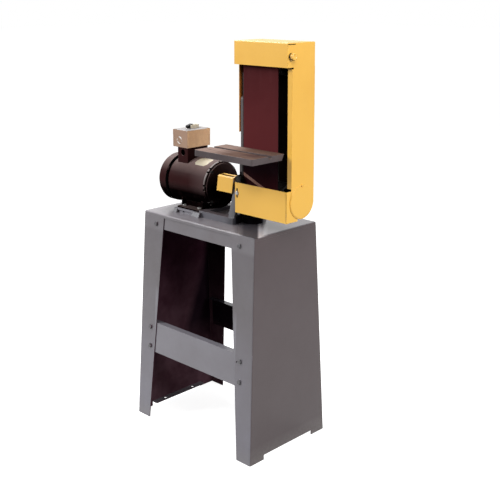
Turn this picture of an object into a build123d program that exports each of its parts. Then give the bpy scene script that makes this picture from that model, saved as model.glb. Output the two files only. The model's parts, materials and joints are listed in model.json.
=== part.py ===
from build123d import *
from math import atan2, cos, pi, sin, sqrt
import os

os.makedirs("parts", exist_ok=True)

# Fits, radial or between faces
running_fit = 0.05
seat_fit = 0.02
belt_gap = 0.3
slide_fit = 0.2
hole_play = 0.4
overrun = 1.0

# Stand, sheet steel
stand_height = 755.0
stand_top_length = 542.0
stand_top_depth = 300.0
stand_foot_length = 571.0
stand_foot_depth = 372.0
stand_sheet = 3.0
lip_depth = 12.0
lip_radius = 5.0
fold_radius = 4.0
flange_top_width = 106.0
flange_foot_width = 63.0
apron_depth = 53.0
stretcher_bottom = 249.0
stretcher_height = 109.0
stretcher_end_inset = 21.7
stretcher_lip = 22.0
foot_pad_length = 66.0
notch_height = 16.0
anchor_flange_width = 25.0
anchor_hole_radius = 5.5
anchor_inset = 13.5
anchor_end_inset = 52.0
spare_hole_inset = 69.5
spare_hole_z = 332.6
spare_hole_radius = 3.0

# Stand bolts
stand_bolt_radius = 4.0
stand_bolt_flats = 13.0
stand_bolt_head = 5.3
stand_bolt_tail = 10.0
stand_nut_height = 6.5
top_bolt_inset = 66.7
top_bolt_drop = 37.0
stretcher_bolt_inset = 54.7
stretcher_bolt_pitch = 70.0

# Shaft line and drums
shaft_rise = 105.0
drum_radius = 50.8
drum_width = 150.0
drum_rim = 6.0
drum_web = 13.0
belt_length = 1219.2
belt_width = 152.4
belt_thickness = 1.2

# Base casting
pad_rise = 16.1
pedestal_left = -178.0
pedestal_flare = 12.0
pedestal_right = -48.0
pedestal_half_depth = 86.0
buttress_left = -161.5
buttress_right = -83.0
buttress_top = 5.0
buttress_foot = 12.0
pedestal_lip = 5.5
bridge_rise = 22.0
bridge_left = -60.0
bridge_half_depth = 82.0
bridge_floor = 8.0
pocket_left = -38.0
pocket_right = 70.0
pocket_half_depth = 58.0
pocket_radius = 12.0
upright_left = 77.0
upright_thickness = 26.5
upright_half_foot = 81.0
upright_half_top = 40.0
upright_height = 150.0
upright_corner = 15.0
boss_radius = 34.0
boss_length = 18.0
tongue_half_depth = 35.0
tongue_length = 18.5
core_slot_x = -136.0
core_slot_size = 8.0
core_slot_depth = 20.0
base_bolt_x = (-15.0, 50.0)
base_bolt_y = 42.0
base_bolt_radius = 5.0
base_bolt_flats = 17.0
base_bolt_head = 6.4

# Motor
motor_feet_x = -118.0
motor_bolt_pitch = 76.2
motor_bolt_gauge = 123.8
motor_bolt_radius = 4.0
motor_bolt_flats = 13.0
motor_bolt_head = 5.3
motor_bolt_depth = 12.0
feet_length = 116.0
feet_depth = 165.0
feet_plate = 4.5
saddle_half_depth = 62.0
saddle_thickness = 6.0
saddle_inset = 4.0
saddle_web_y = 50.0
shell_left = -217.0
shell_right = -40.0
shell_radius = 83.0
shell_wall = 6.0
bell_rim_radius = 82.6
bell_rim = 9.0
bell_rim_round = 4.5
bell_step_radius = 76.0
bell_step = 5.0
bell_depth = 28.0
bell_lug_count = 8
bell_notch_angle = 5.5
bell_notch_width = 6.5
bell_notch_floor = 76.8
bell_notch_back = 1.0
bell_spigot = 8.0
bell_bevel = 6.0
bell_end_wall = 4.0
bell_hub_wall = 11.0
bell_hub_step = 5.0
bell_skin = 7.0
bell_bolt_seat = 2.0
bell_gutter = 3.0
rear_bell_radius = 74.0
rear_bell_rim = 5.0
rear_bell_depth = 14.0
fan_cover_radius = 86.0
fan_cover_skirt = 31.0
fan_cover_dome = 10.0
fan_cover_sheet = 1.5
fan_cover_round = 4.0
fan_lug_width = 14.0
fan_lug_length = 13.0
fan_lug_lead = 10.0
fan_lug_root = 8.0
vent_count = 16
vent_width = 6.0
stator_left = -175.0
stator_right = -75.0
stator_bore = 50.0
winding_outer = 69.0
winding_inner = 53.0
winding_length = 22.0
rotor_air_gap = 0.5
rotor_shaft_radius = 10.0
rotor_ring = 8.0
rotor_ring_share = 0.86
shaft_play = 1.0
shaft_end_radius = 7.9375
shaft_end_length = 47.6
shaft_chamfer = 1.0
fan_seat_radius = 8.0
motor_bearing_radius = 23.5
motor_bearing_width = 14.0
through_bolt_circle = 73.0
through_bolt_angle = 45.0
through_bolt_radius = 3.0
through_bolt_flats = 10.0
through_bolt_head = 4.0
fan_hub_radius = 16.0
fan_blade_radius = 77.0
fan_blade = 2.5
fan_width = 14.0
fan_plate = 2.0
fan_gap = 8.0
fan_count = 7
plate_left = -121.0
plate_right = -61.0
plate_thickness = 0.6
plate_start = 2.5
plate_arc = 34.0
plate_corner = 9.0

# Conduit box and switch
conduit_left = -203.0
conduit_right = -148.0
conduit_front = -51.0
conduit_back = 45.0
conduit_top = 225.0
conduit_wall = 3.0
conduit_hole_x = -174.5
conduit_hole_drop = 18.0
conduit_hole_radius = 11.1
switch_left = -222.0
switch_right = -146.0
switch_front = -55.0
switch_back = 54.0
switch_height = 58.5
switch_wall = 2.0
switch_fold = 0.8
switch_seam = 1.2
switch_seam_inset = 5.0
lid_thickness = 2.5
lid_gap = 0.3
lid_edge = 0.5
lid_screw_inset = 7.0
lid_screw_radius = 1.75
lid_screw_head = 3.5
lid_screw_rise = 2.0
lid_screw_bite = 8.0
lid_post = 16.0
knockout_x = -187.7
knockout_rise = 25.0
knockout_radius = 11.0
knockout_groove = 1.2
bezel_left = -206.0
bezel_right = -184.0
bezel_front = -3.0
bezel_back = 37.0
bezel_height = 12.0
bezel_slot = 15.0
lever_y = 7.0
lever_drop = 2.2
lever_radius = 5.6
lever_tip_radius = 5.2
lever_reach = 16.0
lever_dip = 13.0

# Coupling and its guard
coupling_radius = 27.0
coupling_left = 12.0
coupling_hub_length = 22.0
coupling_jaw_length = 11.0
coupling_jaw_inner = 10.0
coupling_jaw_arc = 44.0
coupling_jaw_count = 3
spider_arc = 15.0
coupling_end_gap = 0.5
guard_left = 4.0
guard_sheet = 1.5
guard_top_y = -51.0
guard_foot_y = -59.0
guard_top_rise = 47.0
guard_foot_rise = -5.0
guard_flange_back = -20.0
guard_bend = 5.0
guard_slot = (9.0, 69.0)
guard_slot_y = (-44.0, -29.0)
guard_tab_front = -47.0
guard_tab_drop = 34.0
guard_screw_y = (-40.0, -28.0)
guard_screw_rise = 26.0

# Arbor
arbor_radius = 12.5
arbor_left = 47.0
arbor_collar_radius = 16.0
arbor_thread_radius = 10.0
arbor_thread_length = 19.0
arbor_bearing_radius = 26.0
arbor_bearing_width = 15.0
bearing_shoulder = 4.0
drum_hub_radius = 22.0
drum_hub_recess = 4.0
lagging_thickness = 5.8
drum_washer_radius = 17.0
drum_washer_thickness = 2.5
drum_nut_flats = 30.0
drum_nut_height = 10.0

# Tilting arm
arm_gap = 0.5
hub_lead = 5.5
arm_thickness = 12.5
arm_front = -48.0
arm_back = 36.0
arm_rise = 325.0
arm_corner = 12.0
arm_hub_radius = 52.0
arm_window_bottom = 72.0
arm_window_top = 180.0
arm_window_front = -28.0
arm_window_back = 18.0
arm_window_radius = 12.0
lug_height = 26.0
lug_rise = (100.0, 290.0)
ear_reach = 76.0
ear_height = 28.0
ear_slit = 2.0
clamp_bolt_y = 63.0
clamp_bolt_radius = 5.0
clamp_bolt_flats = 16.0
clamp_bolt_offset = 1.5
clamp_bolt_tail = 4.0
clamp_bolt_head = 6.4
clamp_nut_height = 8.0

# Tension slide and idler
slide_width = 30.0
slide_slot_rise = 216.0
spring_length = 36.0
spring_outer_radius = 5.4
spring_wire = 1.4
slide_head = 26.0
keeper_thickness = 3.0
keeper_width = 56.0
keeper_height = 60.0
keeper_drop = 12.0
keeper_screw_x = 21.5
keeper_screw_pitch = 40.0
axle_radius = 10.0
axle_collar_radius = 14.0
axle_nut_radius = 13.0
idler_rim = 7.0
idler_hub_radius = 30.0
idler_hub_bore = 14.0
idler_bearing_radius = 23.5
idler_bearing_width = 14.0
idler_bearing_inset = 1.3
belt_side_gap = 4.5
tracking_drop = 30.0
tracking_screw_radius = 4.0
tracking_knob_radius = 14.0
tracking_knob_length = 20.0
tracking_knob_gap = 4.0
tracking_knob_edge = 2.0
tracking_slot_play = 1.5
tracking_travel = 12.0

# Platen
platen_thickness = 6.0
platen_bottom_rise = 65.0
platen_top_rise = 402.0
platen_right_inset = 3.0
platen_flange = 20.0
platen_flange_top_rise = 290.0
platen_screw_rise = (90.0, 270.0)

# Arm screws
arm_screw_radius = 3.0
arm_screw_head_radius = 5.0
arm_screw_head = 3.5
arm_screw_length = 12.0

# Sheet covers of the head
cover_sheet = 1.5
cover_left = 103.5
cover_right = 336.6
hood_front = -71.5
hood_height = 76.5
hood_clearance = 3.7
cover_edge_radius = 2.6
cover_front = -51.0
cover_flange_front = 18.0
cover_flange_back = 14.6
cover_round_radius = 57.0
cover_disc_radius = 54.5
cover_disc_rise = 1.0
cover_disc_edge = 0.4
cover_flange_rise = 46.5
cover_slit = 4.5
cover_slit_length = 7.0
seam_drop = 3.4
seam_width = 2.6
seam_length = 36.0
rear_clearance = 1.8
rear_bottom_rise = 51.0
rear_wall_rise = 206.0
rear_edge_gap = 0.4
rear_wall_front = -50.0
rear_ear_front = -69.3
rear_top_gap = 1.1
strap_thickness = 2.5
strap_gap = 1.6
strap_foot = 15.0
strap_height = 20.0
strap_front = -64.0
strap_low_front = -12.0
strap_low_bottom_rise = 42.0
strap_low_top_rise = 75.0

# Cover knob and cover screw
cover_knob_y = -57.0
cover_knob_drop = 41.6
cover_knob_radius = 12.0
cover_knob_length = 15.6
cover_knob_gap = 0.4
cover_stud_radius = 4.0
cover_stud_length = 10.5
cover_screw_rise = 51.6
cover_screw_radius = 2.5
cover_screw_head_radius = 4.5
cover_screw_head = 2.8
cover_screw_clearance = 1.0
cover_screw_length = 8.0

# Lower cover and its bracket
lower_left = 105.5
lower_right = 334.4
lower_bottom_rise = -62.0
lower_top_rise = 40.0
lower_return_back = -18.0
lower_flange = 13.0
lower_seam = 1.6
lower_seam_foot = 3.0
lower_bolt_x = 115.0
lower_bolt_rise = 4.7
lower_slot_low_rise = -8.0
lower_slot_high_rise = 18.0
lower_bolt_radius = 3.0
lower_bolt_flats = 10.0
lower_bolt_head = 4.0
lower_bolt_length = 11.0
bracket_thickness = 4.0
bracket_width = 24.0
bracket_gap = 1.0
bracket_bottom_rise = -77.0
bracket_top_rise = 26.0
bracket_leg_top_rise = -30.0
bracket_leg_back = -50.0
bracket_screw_y = -58.0
bracket_screw_rise = (-68.0, -46.0)

# Table
table_left = 48.0
table_right = 308.0
table_front = -200.0
table_belt_gap = 1.7
table_thickness = 20.0
table_rise = 158.0
table_undercut = 12.0
table_edge = 2.0
mitre_slot_y = -119.0
mitre_slot_width = 16.0
mitre_slot_depth = 8.0
pivot_y = -68.0
pivot_drop = 18.0
pivot_radius = 5.0
pivot_flats = 17.0
pivot_head = 6.4
pivot_nut_height = 6.4
table_lug_radius = 12.0
table_lug_width = 12.5
leg_thickness = 6.0
leg_bottom_rise = 33.0
leg_eye_radius = 11.0
leg_slot_height = 24.0
knob_rise = 50.0
knob_edge = 2.0
knob_core_radius = 12.5
knob_lobe_radius = 4.0
knob_lobe_circle = 11.5
knob_lobe_count = 6
knob_length = 15.0
knob_gap = 0.3
knob_stud_radius = 4.0
knob_stud_length = 22.0

# Places worked out from the sizes above
shaft_z = stand_height + shaft_rise
belt_inner_radius = drum_radius + belt_gap
belt_outer_radius = belt_inner_radius + belt_thickness
idler_z = shaft_z + (belt_length - 2 * pi * belt_inner_radius) / 2
upright_right = upright_left + upright_thickness
boss_end = upright_right + boss_length
hub_left = upright_right + arm_gap
arm_left = hub_left + hub_lead
arm_right = arm_left + arm_thickness
arm_mid = (arm_left + arm_right) / 2
belt_left = arm_right + belt_side_gap
belt_right = belt_left + belt_width
drum_left = belt_left + (belt_width - drum_width) / 2
drum_right = drum_left + drum_width
cover_top = idler_z + belt_outer_radius + hood_clearance + cover_sheet
hood_bottom = cover_top - hood_height
rear_panel_front = belt_outer_radius + rear_clearance
rear_panel_back = rear_panel_front + cover_sheet
cover_back_inner = rear_panel_back + slide_fit
cover_back = cover_back_inner + cover_sheet
cover_inner = cover_right - cover_sheet
hood_inner_front = hood_front + cover_sheet
pad_top = stand_height + pad_rise
feet_top = pad_top + feet_plate
bridge_top = stand_height + bridge_rise
bell_face = shell_right + bell_depth
rear_bell_left = shell_left - rear_bell_depth
fan_cover_left = rear_bell_left - fan_cover_skirt
rotor_end = bell_face + shaft_end_length
conduit_top_z = stand_height + conduit_top
switch_top = conduit_top_z + switch_height
lid_top = switch_top + lid_thickness
lever_z = lid_top + bezel_height - lever_drop
table_top = shaft_z + table_rise
table_bottom = table_top - table_thickness
table_back = -belt_outer_radius - table_belt_gap
pivot_z = table_bottom - pivot_drop
knob_z = shaft_z + knob_rise
leg_front = arm_front - leg_thickness
arm_top = shaft_z + arm_rise
slot_bottom = shaft_z + slide_slot_rise
slide_bottom = slot_bottom + spring_length
slide_top = idler_z + slide_head
keeper_top = arm_top - keeper_drop
keeper_mid = keeper_top - keeper_height / 2
tracking_z = idler_z - tracking_drop
cover_knob_z = cover_top - cover_knob_drop
cover_knob_end = cover_right + cover_knob_gap + cover_knob_length
strap_right = cover_inner - strap_gap
strap_left = strap_right - strap_thickness
lower_bottom = shaft_z + lower_bottom_rise
lower_top = shaft_z + lower_top_rise
bearing_left = upright_left + seat_fit
bearing_right = boss_end - arbor_bearing_width
axle_left = arm_left + slide_fit

# The frame: origin on the floor under the middle of the whole box
stand_x = (stand_foot_length / 2 - cover_knob_end) / 2
stand_y = (-table_front - stand_foot_depth / 2) / 2
home = Plane((stand_x, stand_y, 0))
lean = atan2((stand_foot_depth - stand_top_depth) / 2, stand_height)

FROM_END = (Align.CENTER, Align.CENTER, Align.MIN)
FROM_TOP = (Align.CENTER, Align.CENTER, Align.MAX)
TURN = {"x": (0, 90, 0), "y": (-90, 0, 0), "z": (0, 0, 0)}


def block(x, y, z, mode=Mode.ADD):
    """Block between pairs of limits, measured from the stand's middle on the floor."""
    with Locations(((x[0] + x[1]) / 2, (y[0] + y[1]) / 2, (z[0] + z[1]) / 2)):
        Box(x[1] - x[0], y[1] - y[0], z[1] - z[0], mode=mode)


def bar(direction, radius, start, length, mode=Mode.ADD):
    """Round bar from a start point along the x, y or z direction."""
    with Locations(start):
        Cylinder(radius, length, rotation=TURN[direction], align=FROM_END, mode=mode)


def roller(radius, left, right, level=shaft_z, mode=Mode.ADD):
    """Round bar along X on the shaft line, or on another level of it."""
    bar("x", radius, (left, 0, level), right - left, mode)


def side_plane(x):
    """Plane across X whose own axes are Y and Z."""
    return Plane((stand_x + x, stand_y, 0), x_dir=(0, 1, 0), z_dir=(1, 0, 0))


def front_plane(y):
    """Plane across Y whose own axes are X and Z, facing the front."""
    return Plane((stand_x, stand_y + y, 0), x_dir=(1, 0, 0), z_dir=(0, -1, 0))


def prism_x(points, left, right, mode=Mode.ADD):
    """Prism along X over a (y, z) outline."""
    with BuildSketch(side_plane(left)) as outline:
        with BuildLine():
            Polyline(*points, close=True)
        make_face()
    extrude(outline.sketch, right - left, mode=mode)


def prism_y(points, front, back, mode=Mode.ADD):
    """Prism along Y over an (x, z) outline."""
    with BuildSketch(front_plane(back)) as outline:
        with BuildLine():
            Polyline(*points, close=True)
        make_face()
    extrude(outline.sketch, back - front, mode=mode)


def turned(profile, start=0.0, arc=360.0, mode=Mode.ADD):
    """Turned piece on the shaft line over an (x, radius) profile, from an angle off the top."""
    turn = start * pi / 180
    plane = Plane((stand_x, stand_y, shaft_z), x_dir=(1, 0, 0), z_dir=(0, -cos(turn), -sin(turn)))
    with BuildSketch(plane) as outline:
        with BuildLine():
            Polyline(*profile, close=True)
        make_face()
    revolve(outline.sketch, Axis(plane.origin, (1, 0, 0)), arc, mode=mode)


def stand_half_length(z):
    """Half length of the stand's outside at a height."""
    return (stand_foot_length + (stand_top_length - stand_foot_length) * z / stand_height) / 2


def stand_half_depth(z):
    """Half depth of the stand's outside at a height."""
    return (stand_foot_depth + (stand_top_depth - stand_foot_depth) * z / stand_height) / 2


def tapered_block(inset, bottom, top, mode=Mode.ADD):
    """Block of the stand's tapering outline, drawn in by an inset."""
    faces = []
    for level in (bottom, top):
        with BuildSketch(Plane((stand_x, stand_y, level))) as outline:
            Rectangle(2 * (stand_half_length(level) - inset), 2 * (stand_half_depth(level) - inset))
        faces.append(outline.sketch.face())
    loft(faces, ruled=True, mode=mode)


def stand_spots(side, depth=0.0):
    """Bolt places on the front (side -1) or rear (side 1) flanges, facing out, set in by a depth."""
    middle = stretcher_bottom + stretcher_height / 2
    top_level = stand_height - top_bolt_drop
    levels = [(stand_half_length(top_level) - top_bolt_inset, top_level)]
    bolt_x = stand_half_length(middle) - stretcher_bolt_inset
    levels += [(bolt_x, middle + step * stretcher_bolt_pitch / 2) for step in (-1, 1)]
    out = Vector(0, side * cos(lean), sin(lean))
    spots = []
    for x, z in levels:
        for end in (-1, 1):
            face = Vector(end * x, side * stand_half_depth(z), z) - out * depth
            spots.append(Plane(face, x_dir=(1, 0, 0), z_dir=out))
    return spots


def hex_bolt(radius, length, flats, head):
    """Hex bolt along Z: the head stands on z 0, the shank hangs below it."""
    with BuildPart() as bolt:
        with BuildSketch():
            RegularPolygon(flats / 2, 6, major_radius=False)
        extrude(amount=head)
        chamfer(bolt.faces().sort_by(Axis.Z)[-1].edges(), head / 8)
        Cylinder(radius, length, align=FROM_TOP)
    return bolt.part


def hex_nut(radius, flats, height):
    """Hex nut along Z that hangs below z 0, with a bore for a screw of the radius."""
    with BuildPart() as nut:
        with BuildSketch():
            RegularPolygon(flats / 2, 6, major_radius=False)
            Circle(radius + seat_fit, mode=Mode.SUBTRACT)
        extrude(amount=-height)
    return nut.part


def round_screw(radius, length, head_radius, head):
    """Round-head screw along Z: the head stands on z 0, the shank hangs below it."""
    with BuildPart() as screw:
        Cylinder(head_radius, head, align=FROM_END)
        fillet(screw.faces().sort_by(Axis.Z)[-1].edges(), head * 0.45)
        Cylinder(radius, length, align=FROM_TOP)
        with Locations((0, 0, head)):
            Box(head_radius * 1.3, head / 3, head * 0.6, mode=Mode.SUBTRACT)
    return screw.part


def facing(place, out):
    """Place for a screw whose head faces a direction."""
    across = (1, 0, 0) if out[0] == 0 else (0, 1, 0)
    return Plane(place, x_dir=across, z_dir=out)


# Stand
half_top_x = stand_top_length / 2
half_top_y = stand_top_depth / 2
panel_top = stand_height - lip_depth
apron_bottom = stand_height - apron_depth
stand_grip = 2 * stand_sheet
stand_hole_radius = stand_bolt_radius + hole_play
base_hole_radius = base_bolt_radius + hole_play

with BuildPart(home) as stand_top:
    block((-half_top_x, half_top_x), (-half_top_y, half_top_y), (panel_top, stand_height))
    fillet(stand_top.edges().filter_by(Axis.Z), fold_radius)
    fillet(stand_top.faces().sort_by(Axis.Z)[-1].edges(), lip_radius)
    inner_x = half_top_x - stand_sheet
    inner_y = half_top_y - stand_sheet
    hollow = (panel_top - overrun, stand_height - stand_sheet)
    block((-inner_x, inner_x), (-inner_y, inner_y), hollow, Mode.SUBTRACT)
    tapered_block(stand_sheet, apron_bottom, stand_height - stand_sheet)
    tapered_block(stand_grip, apron_bottom, stand_height - stand_sheet, Mode.SUBTRACT)
    for x in base_bolt_x:
        for y in (-base_bolt_y, base_bolt_y):
            bar("z", base_hole_radius, (x, y, apron_bottom), apron_depth, Mode.SUBTRACT)
    with Locations(*[spot for side in (-1, 1) for spot in stand_spots(side)]):
        Cylinder(stand_hole_radius, 4 * stand_grip, mode=Mode.SUBTRACT)

with BuildPart(home) as end_panel:
    tapered_block(0, 0, panel_top)
    fillet([edge for edge in end_panel.edges() if edge.length > panel_top * 0.9], fold_radius)
    tapered_block(stand_sheet, 0, panel_top, Mode.SUBTRACT)
    window = [
        (-stand_foot_length, -overrun),
        (stand_foot_length / 2 - flange_foot_width, 0),
        (stand_top_length / 2 - flange_top_width, stand_height),
        (-stand_foot_length, stand_height + overrun),
    ]
    prism_y(window, -stand_foot_depth, stand_foot_depth, Mode.SUBTRACT)
    notch_y = stand_foot_depth / 2 - foot_pad_length
    wall_x = stand_half_length(notch_height + stand_sheet) - stand_sheet / 2
    notch = (-notch_y, notch_y)
    block((wall_x - anchor_flange_width, wall_x), notch, (notch_height, notch_height + stand_sheet))
    block((wall_x - stand_sheet, stand_foot_length), notch, (-overrun, notch_height), Mode.SUBTRACT)
    anchor_x = stand_foot_length / 2 - anchor_inset
    for y in (anchor_end_inset - notch_y, notch_y - anchor_end_inset):
        bar("z", anchor_hole_radius, (anchor_x, y, notch_height - overrun), 2 * stand_sheet, Mode.SUBTRACT)
    with Locations(*[spot for side in (-1, 1) for spot in stand_spots(side)]):
        Cylinder(stand_hole_radius, 4 * stand_grip, mode=Mode.SUBTRACT)

with BuildPart() as left_end_panel:
    mirror(end_panel.part, about=Plane.YZ.offset(stand_x))

with BuildPart(home) as right_end_panel:
    add(end_panel.part.moved(home.location.inverse()))
    spare_hole = (stand_half_length(spare_hole_z) - spare_hole_inset, -stand_foot_depth / 2, spare_hole_z)
    bar("y", spare_hole_radius, spare_hole, stand_foot_depth / 4, Mode.SUBTRACT)

stretcher_top = stretcher_bottom + stretcher_height
with BuildPart(home) as front_stretcher:
    tapered_block(stand_sheet, stretcher_bottom, stretcher_top)
    tapered_block(stand_grip, stretcher_bottom, stretcher_top, Mode.SUBTRACT)
    half = stand_half_length((stretcher_bottom + stretcher_top) / 2) - stretcher_end_inset
    front_half = (-stand_foot_depth, -half_top_y / 2)
    block((-half, half), front_half, (stretcher_bottom, stretcher_top), Mode.INTERSECT)
    lip_front = -stand_half_depth(stretcher_top) + 1.5 * stand_sheet
    lip = (lip_front, lip_front + stretcher_lip)
    block((-half, half), lip, (stretcher_top - stand_sheet, stretcher_top))
    with Locations(*stand_spots(-1)):
        Cylinder(stand_hole_radius, 4 * stand_grip, mode=Mode.SUBTRACT)

with BuildPart() as rear_stretcher:
    mirror(front_stretcher.part, about=Plane.XZ.offset(-stand_y))

stand_bolt = hex_bolt(stand_bolt_radius, stand_grip + stand_bolt_tail, stand_bolt_flats, stand_bolt_head)
stand_nut = hex_nut(stand_bolt_radius, stand_bolt_flats, stand_nut_height)
with BuildPart(home) as stand_bolts:
    with Locations(*[spot for side in (-1, 1) for spot in stand_spots(side)]):
        add(stand_bolt)
    with Locations(*[spot for side in (-1, 1) for spot in stand_spots(side, stand_grip)]):
        add(stand_nut)

# Base casting
bearing_bore = arbor_bearing_radius + seat_fit
shoulder_bore = arbor_bearing_radius - bearing_shoulder
tapped = arm_screw_radius + seat_fit
arm_hole = arm_screw_radius + hole_play

with BuildPart(home) as base_casting:
    pedestal = [
        (pedestal_left - pedestal_flare, stand_height),
        (pedestal_left, pad_top),
        (pedestal_right, pad_top),
        (pedestal_right, stand_height),
    ]
    prism_y(pedestal, -pedestal_half_depth, pedestal_half_depth)
    crest = base_casting.edges().filter_by(Axis.Y).group_by(Axis.Z)[-1].sort_by(Axis.X)[0]
    fillet(crest, pedestal_flare / 3)
    for left, right in ((pedestal_left, buttress_left), (buttress_right, pedestal_right)):
        for side in (-1, 1):
            buttress = [
                (side * pedestal_half_depth, stand_height),
                (side * pedestal_half_depth, pad_top),
                (side * (pedestal_half_depth + buttress_top), pad_top),
                (side * (pedestal_half_depth + buttress_foot), stand_height),
            ]
            prism_x(buttress, left, right)
    lip_half = pedestal_half_depth + buttress_top
    block((buttress_left, buttress_right), (-lip_half, lip_half), (pad_top - pedestal_lip, pad_top))
    block((bridge_left, upright_right), (-bridge_half_depth, bridge_half_depth), (stand_height, bridge_top))
    with BuildSketch(Plane((stand_x, stand_y, stand_height + bridge_floor))) as pocket:
        with Locations(((pocket_left + pocket_right) / 2, 0)):
            RectangleRounded(pocket_right - pocket_left, 2 * pocket_half_depth, pocket_radius)
    extrude(pocket.sketch, bridge_rise - bridge_floor, mode=Mode.SUBTRACT)
    upright_top = stand_height + upright_height
    upright = [
        (-upright_half_foot, stand_height),
        (-upright_half_top, upright_top),
        (upright_half_top, upright_top),
        (upright_half_foot, stand_height),
    ]
    prism_x(upright, upright_left, upright_right)
    fillet(base_casting.edges().filter_by(Axis.X).group_by(Axis.Z)[-1], upright_corner)
    roller(boss_radius, upright_right, boss_end)
    block((upright_right, upright_right + tongue_length), (-tongue_half_depth, tongue_half_depth),
          (stand_height, bridge_top))
    bar("z", tongue_half_depth, (upright_right + tongue_length, 0, stand_height), bridge_rise)
    roller(bearing_bore, upright_left, upright_left + arbor_bearing_width + seat_fit, mode=Mode.SUBTRACT)
    roller(shoulder_bore, upright_left, boss_end, mode=Mode.SUBTRACT)
    roller(bearing_bore, bearing_right - seat_fit, boss_end, mode=Mode.SUBTRACT)
    block((core_slot_x - core_slot_size / 2, core_slot_x + core_slot_size / 2),
          (-pedestal_half_depth, -pedestal_half_depth + core_slot_depth),
          (stand_height + core_slot_size / 4, stand_height + core_slot_size * 1.25), Mode.SUBTRACT)
    with Locations((motor_feet_x, 0, pad_top)):
        with GridLocations(motor_bolt_pitch, motor_bolt_gauge, 2, 2):
            Cylinder(motor_bolt_radius + seat_fit, 2 * motor_bolt_depth, mode=Mode.SUBTRACT)
    for x in base_bolt_x:
        for y in (-base_bolt_y, base_bolt_y):
            bar("z", base_hole_radius, (x, y, stand_height), bridge_rise, Mode.SUBTRACT)
    for y in guard_screw_y:
        bar("x", tapped, (upright_left, y, shaft_z + guard_screw_rise), arm_screw_length, Mode.SUBTRACT)
    for rise in bracket_screw_rise:
        place = (upright_right - arm_screw_length, bracket_screw_y, shaft_z + rise)
        bar("x", tapped, place, arm_screw_length, Mode.SUBTRACT)

base_grip = bridge_floor + stand_sheet
base_bolt = hex_bolt(base_bolt_radius, base_grip + stand_bolt_tail, base_bolt_flats, base_bolt_head)
base_nut = hex_nut(base_bolt_radius, base_bolt_flats, stand_nut_height)
base_spots = [(x, y) for x in base_bolt_x for y in (-base_bolt_y, base_bolt_y)]
with BuildPart(home) as base_bolts:
    with Locations(*[(x, y, stand_height + bridge_floor) for x, y in base_spots]):
        add(base_bolt)
    with Locations(*[(x, y, stand_height - stand_sheet) for x, y in base_spots]):
        add(base_nut)

# Motor
shell_seat = shell_radius + seat_fit
shell_bore = shell_radius - shell_wall
spigot_radius = shell_bore - seat_fit
bearing_seat = motor_bearing_radius + seat_fit
shaft_hole = rotor_shaft_radius + shaft_play
through_y = through_bolt_circle * cos(through_bolt_angle * pi / 180)
through_z = through_bolt_circle * sin(through_bolt_angle * pi / 180)
through_places = [(side * through_y, shaft_z + lift * through_z) for side in (-1, 1) for lift in (-1, 1)]

with BuildPart(home) as motor_feet:
    feet_x = (motor_feet_x - feet_length / 2, motor_feet_x + feet_length / 2)
    block(feet_x, (-feet_depth / 2, feet_depth / 2), (pad_top, feet_top))
    fillet(motor_feet.edges().filter_by(Axis.Z), 2 * feet_plate)
    saddle_top = shaft_z - sqrt(shell_seat ** 2 - saddle_half_depth ** 2)
    saddle_x = (feet_x[0] + saddle_inset, feet_x[1] - saddle_inset)
    for x in (saddle_x[0], saddle_x[1] - saddle_thickness):
        block((x, x + saddle_thickness), (-saddle_half_depth, saddle_half_depth), (feet_top, saddle_top))
    for y in (-saddle_web_y, saddle_web_y - saddle_thickness):
        block(saddle_x, (y, y + saddle_thickness), (feet_top, saddle_top))
    roller(shell_seat, *feet_x, mode=Mode.SUBTRACT)
    with Locations((motor_feet_x, 0, pad_top)):
        with GridLocations(motor_bolt_pitch, motor_bolt_gauge, 2, 2):
            Cylinder(motor_bolt_radius + hole_play, 4 * feet_plate, mode=Mode.SUBTRACT)

motor_bolt_length = feet_plate + motor_bolt_depth - hole_play
motor_bolt = hex_bolt(motor_bolt_radius, motor_bolt_length, motor_bolt_flats, motor_bolt_head)
with BuildPart(home) as motor_mount_bolts:
    with Locations((motor_feet_x, 0, feet_top)):
        with GridLocations(motor_bolt_pitch, motor_bolt_gauge, 2, 2):
            add(motor_bolt)

with BuildPart(home) as motor_shell:
    turned([
        (shell_left, shell_bore),
        (shell_left, shell_radius),
        (shell_right, shell_radius),
        (shell_right, shell_bore),
    ])

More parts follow.
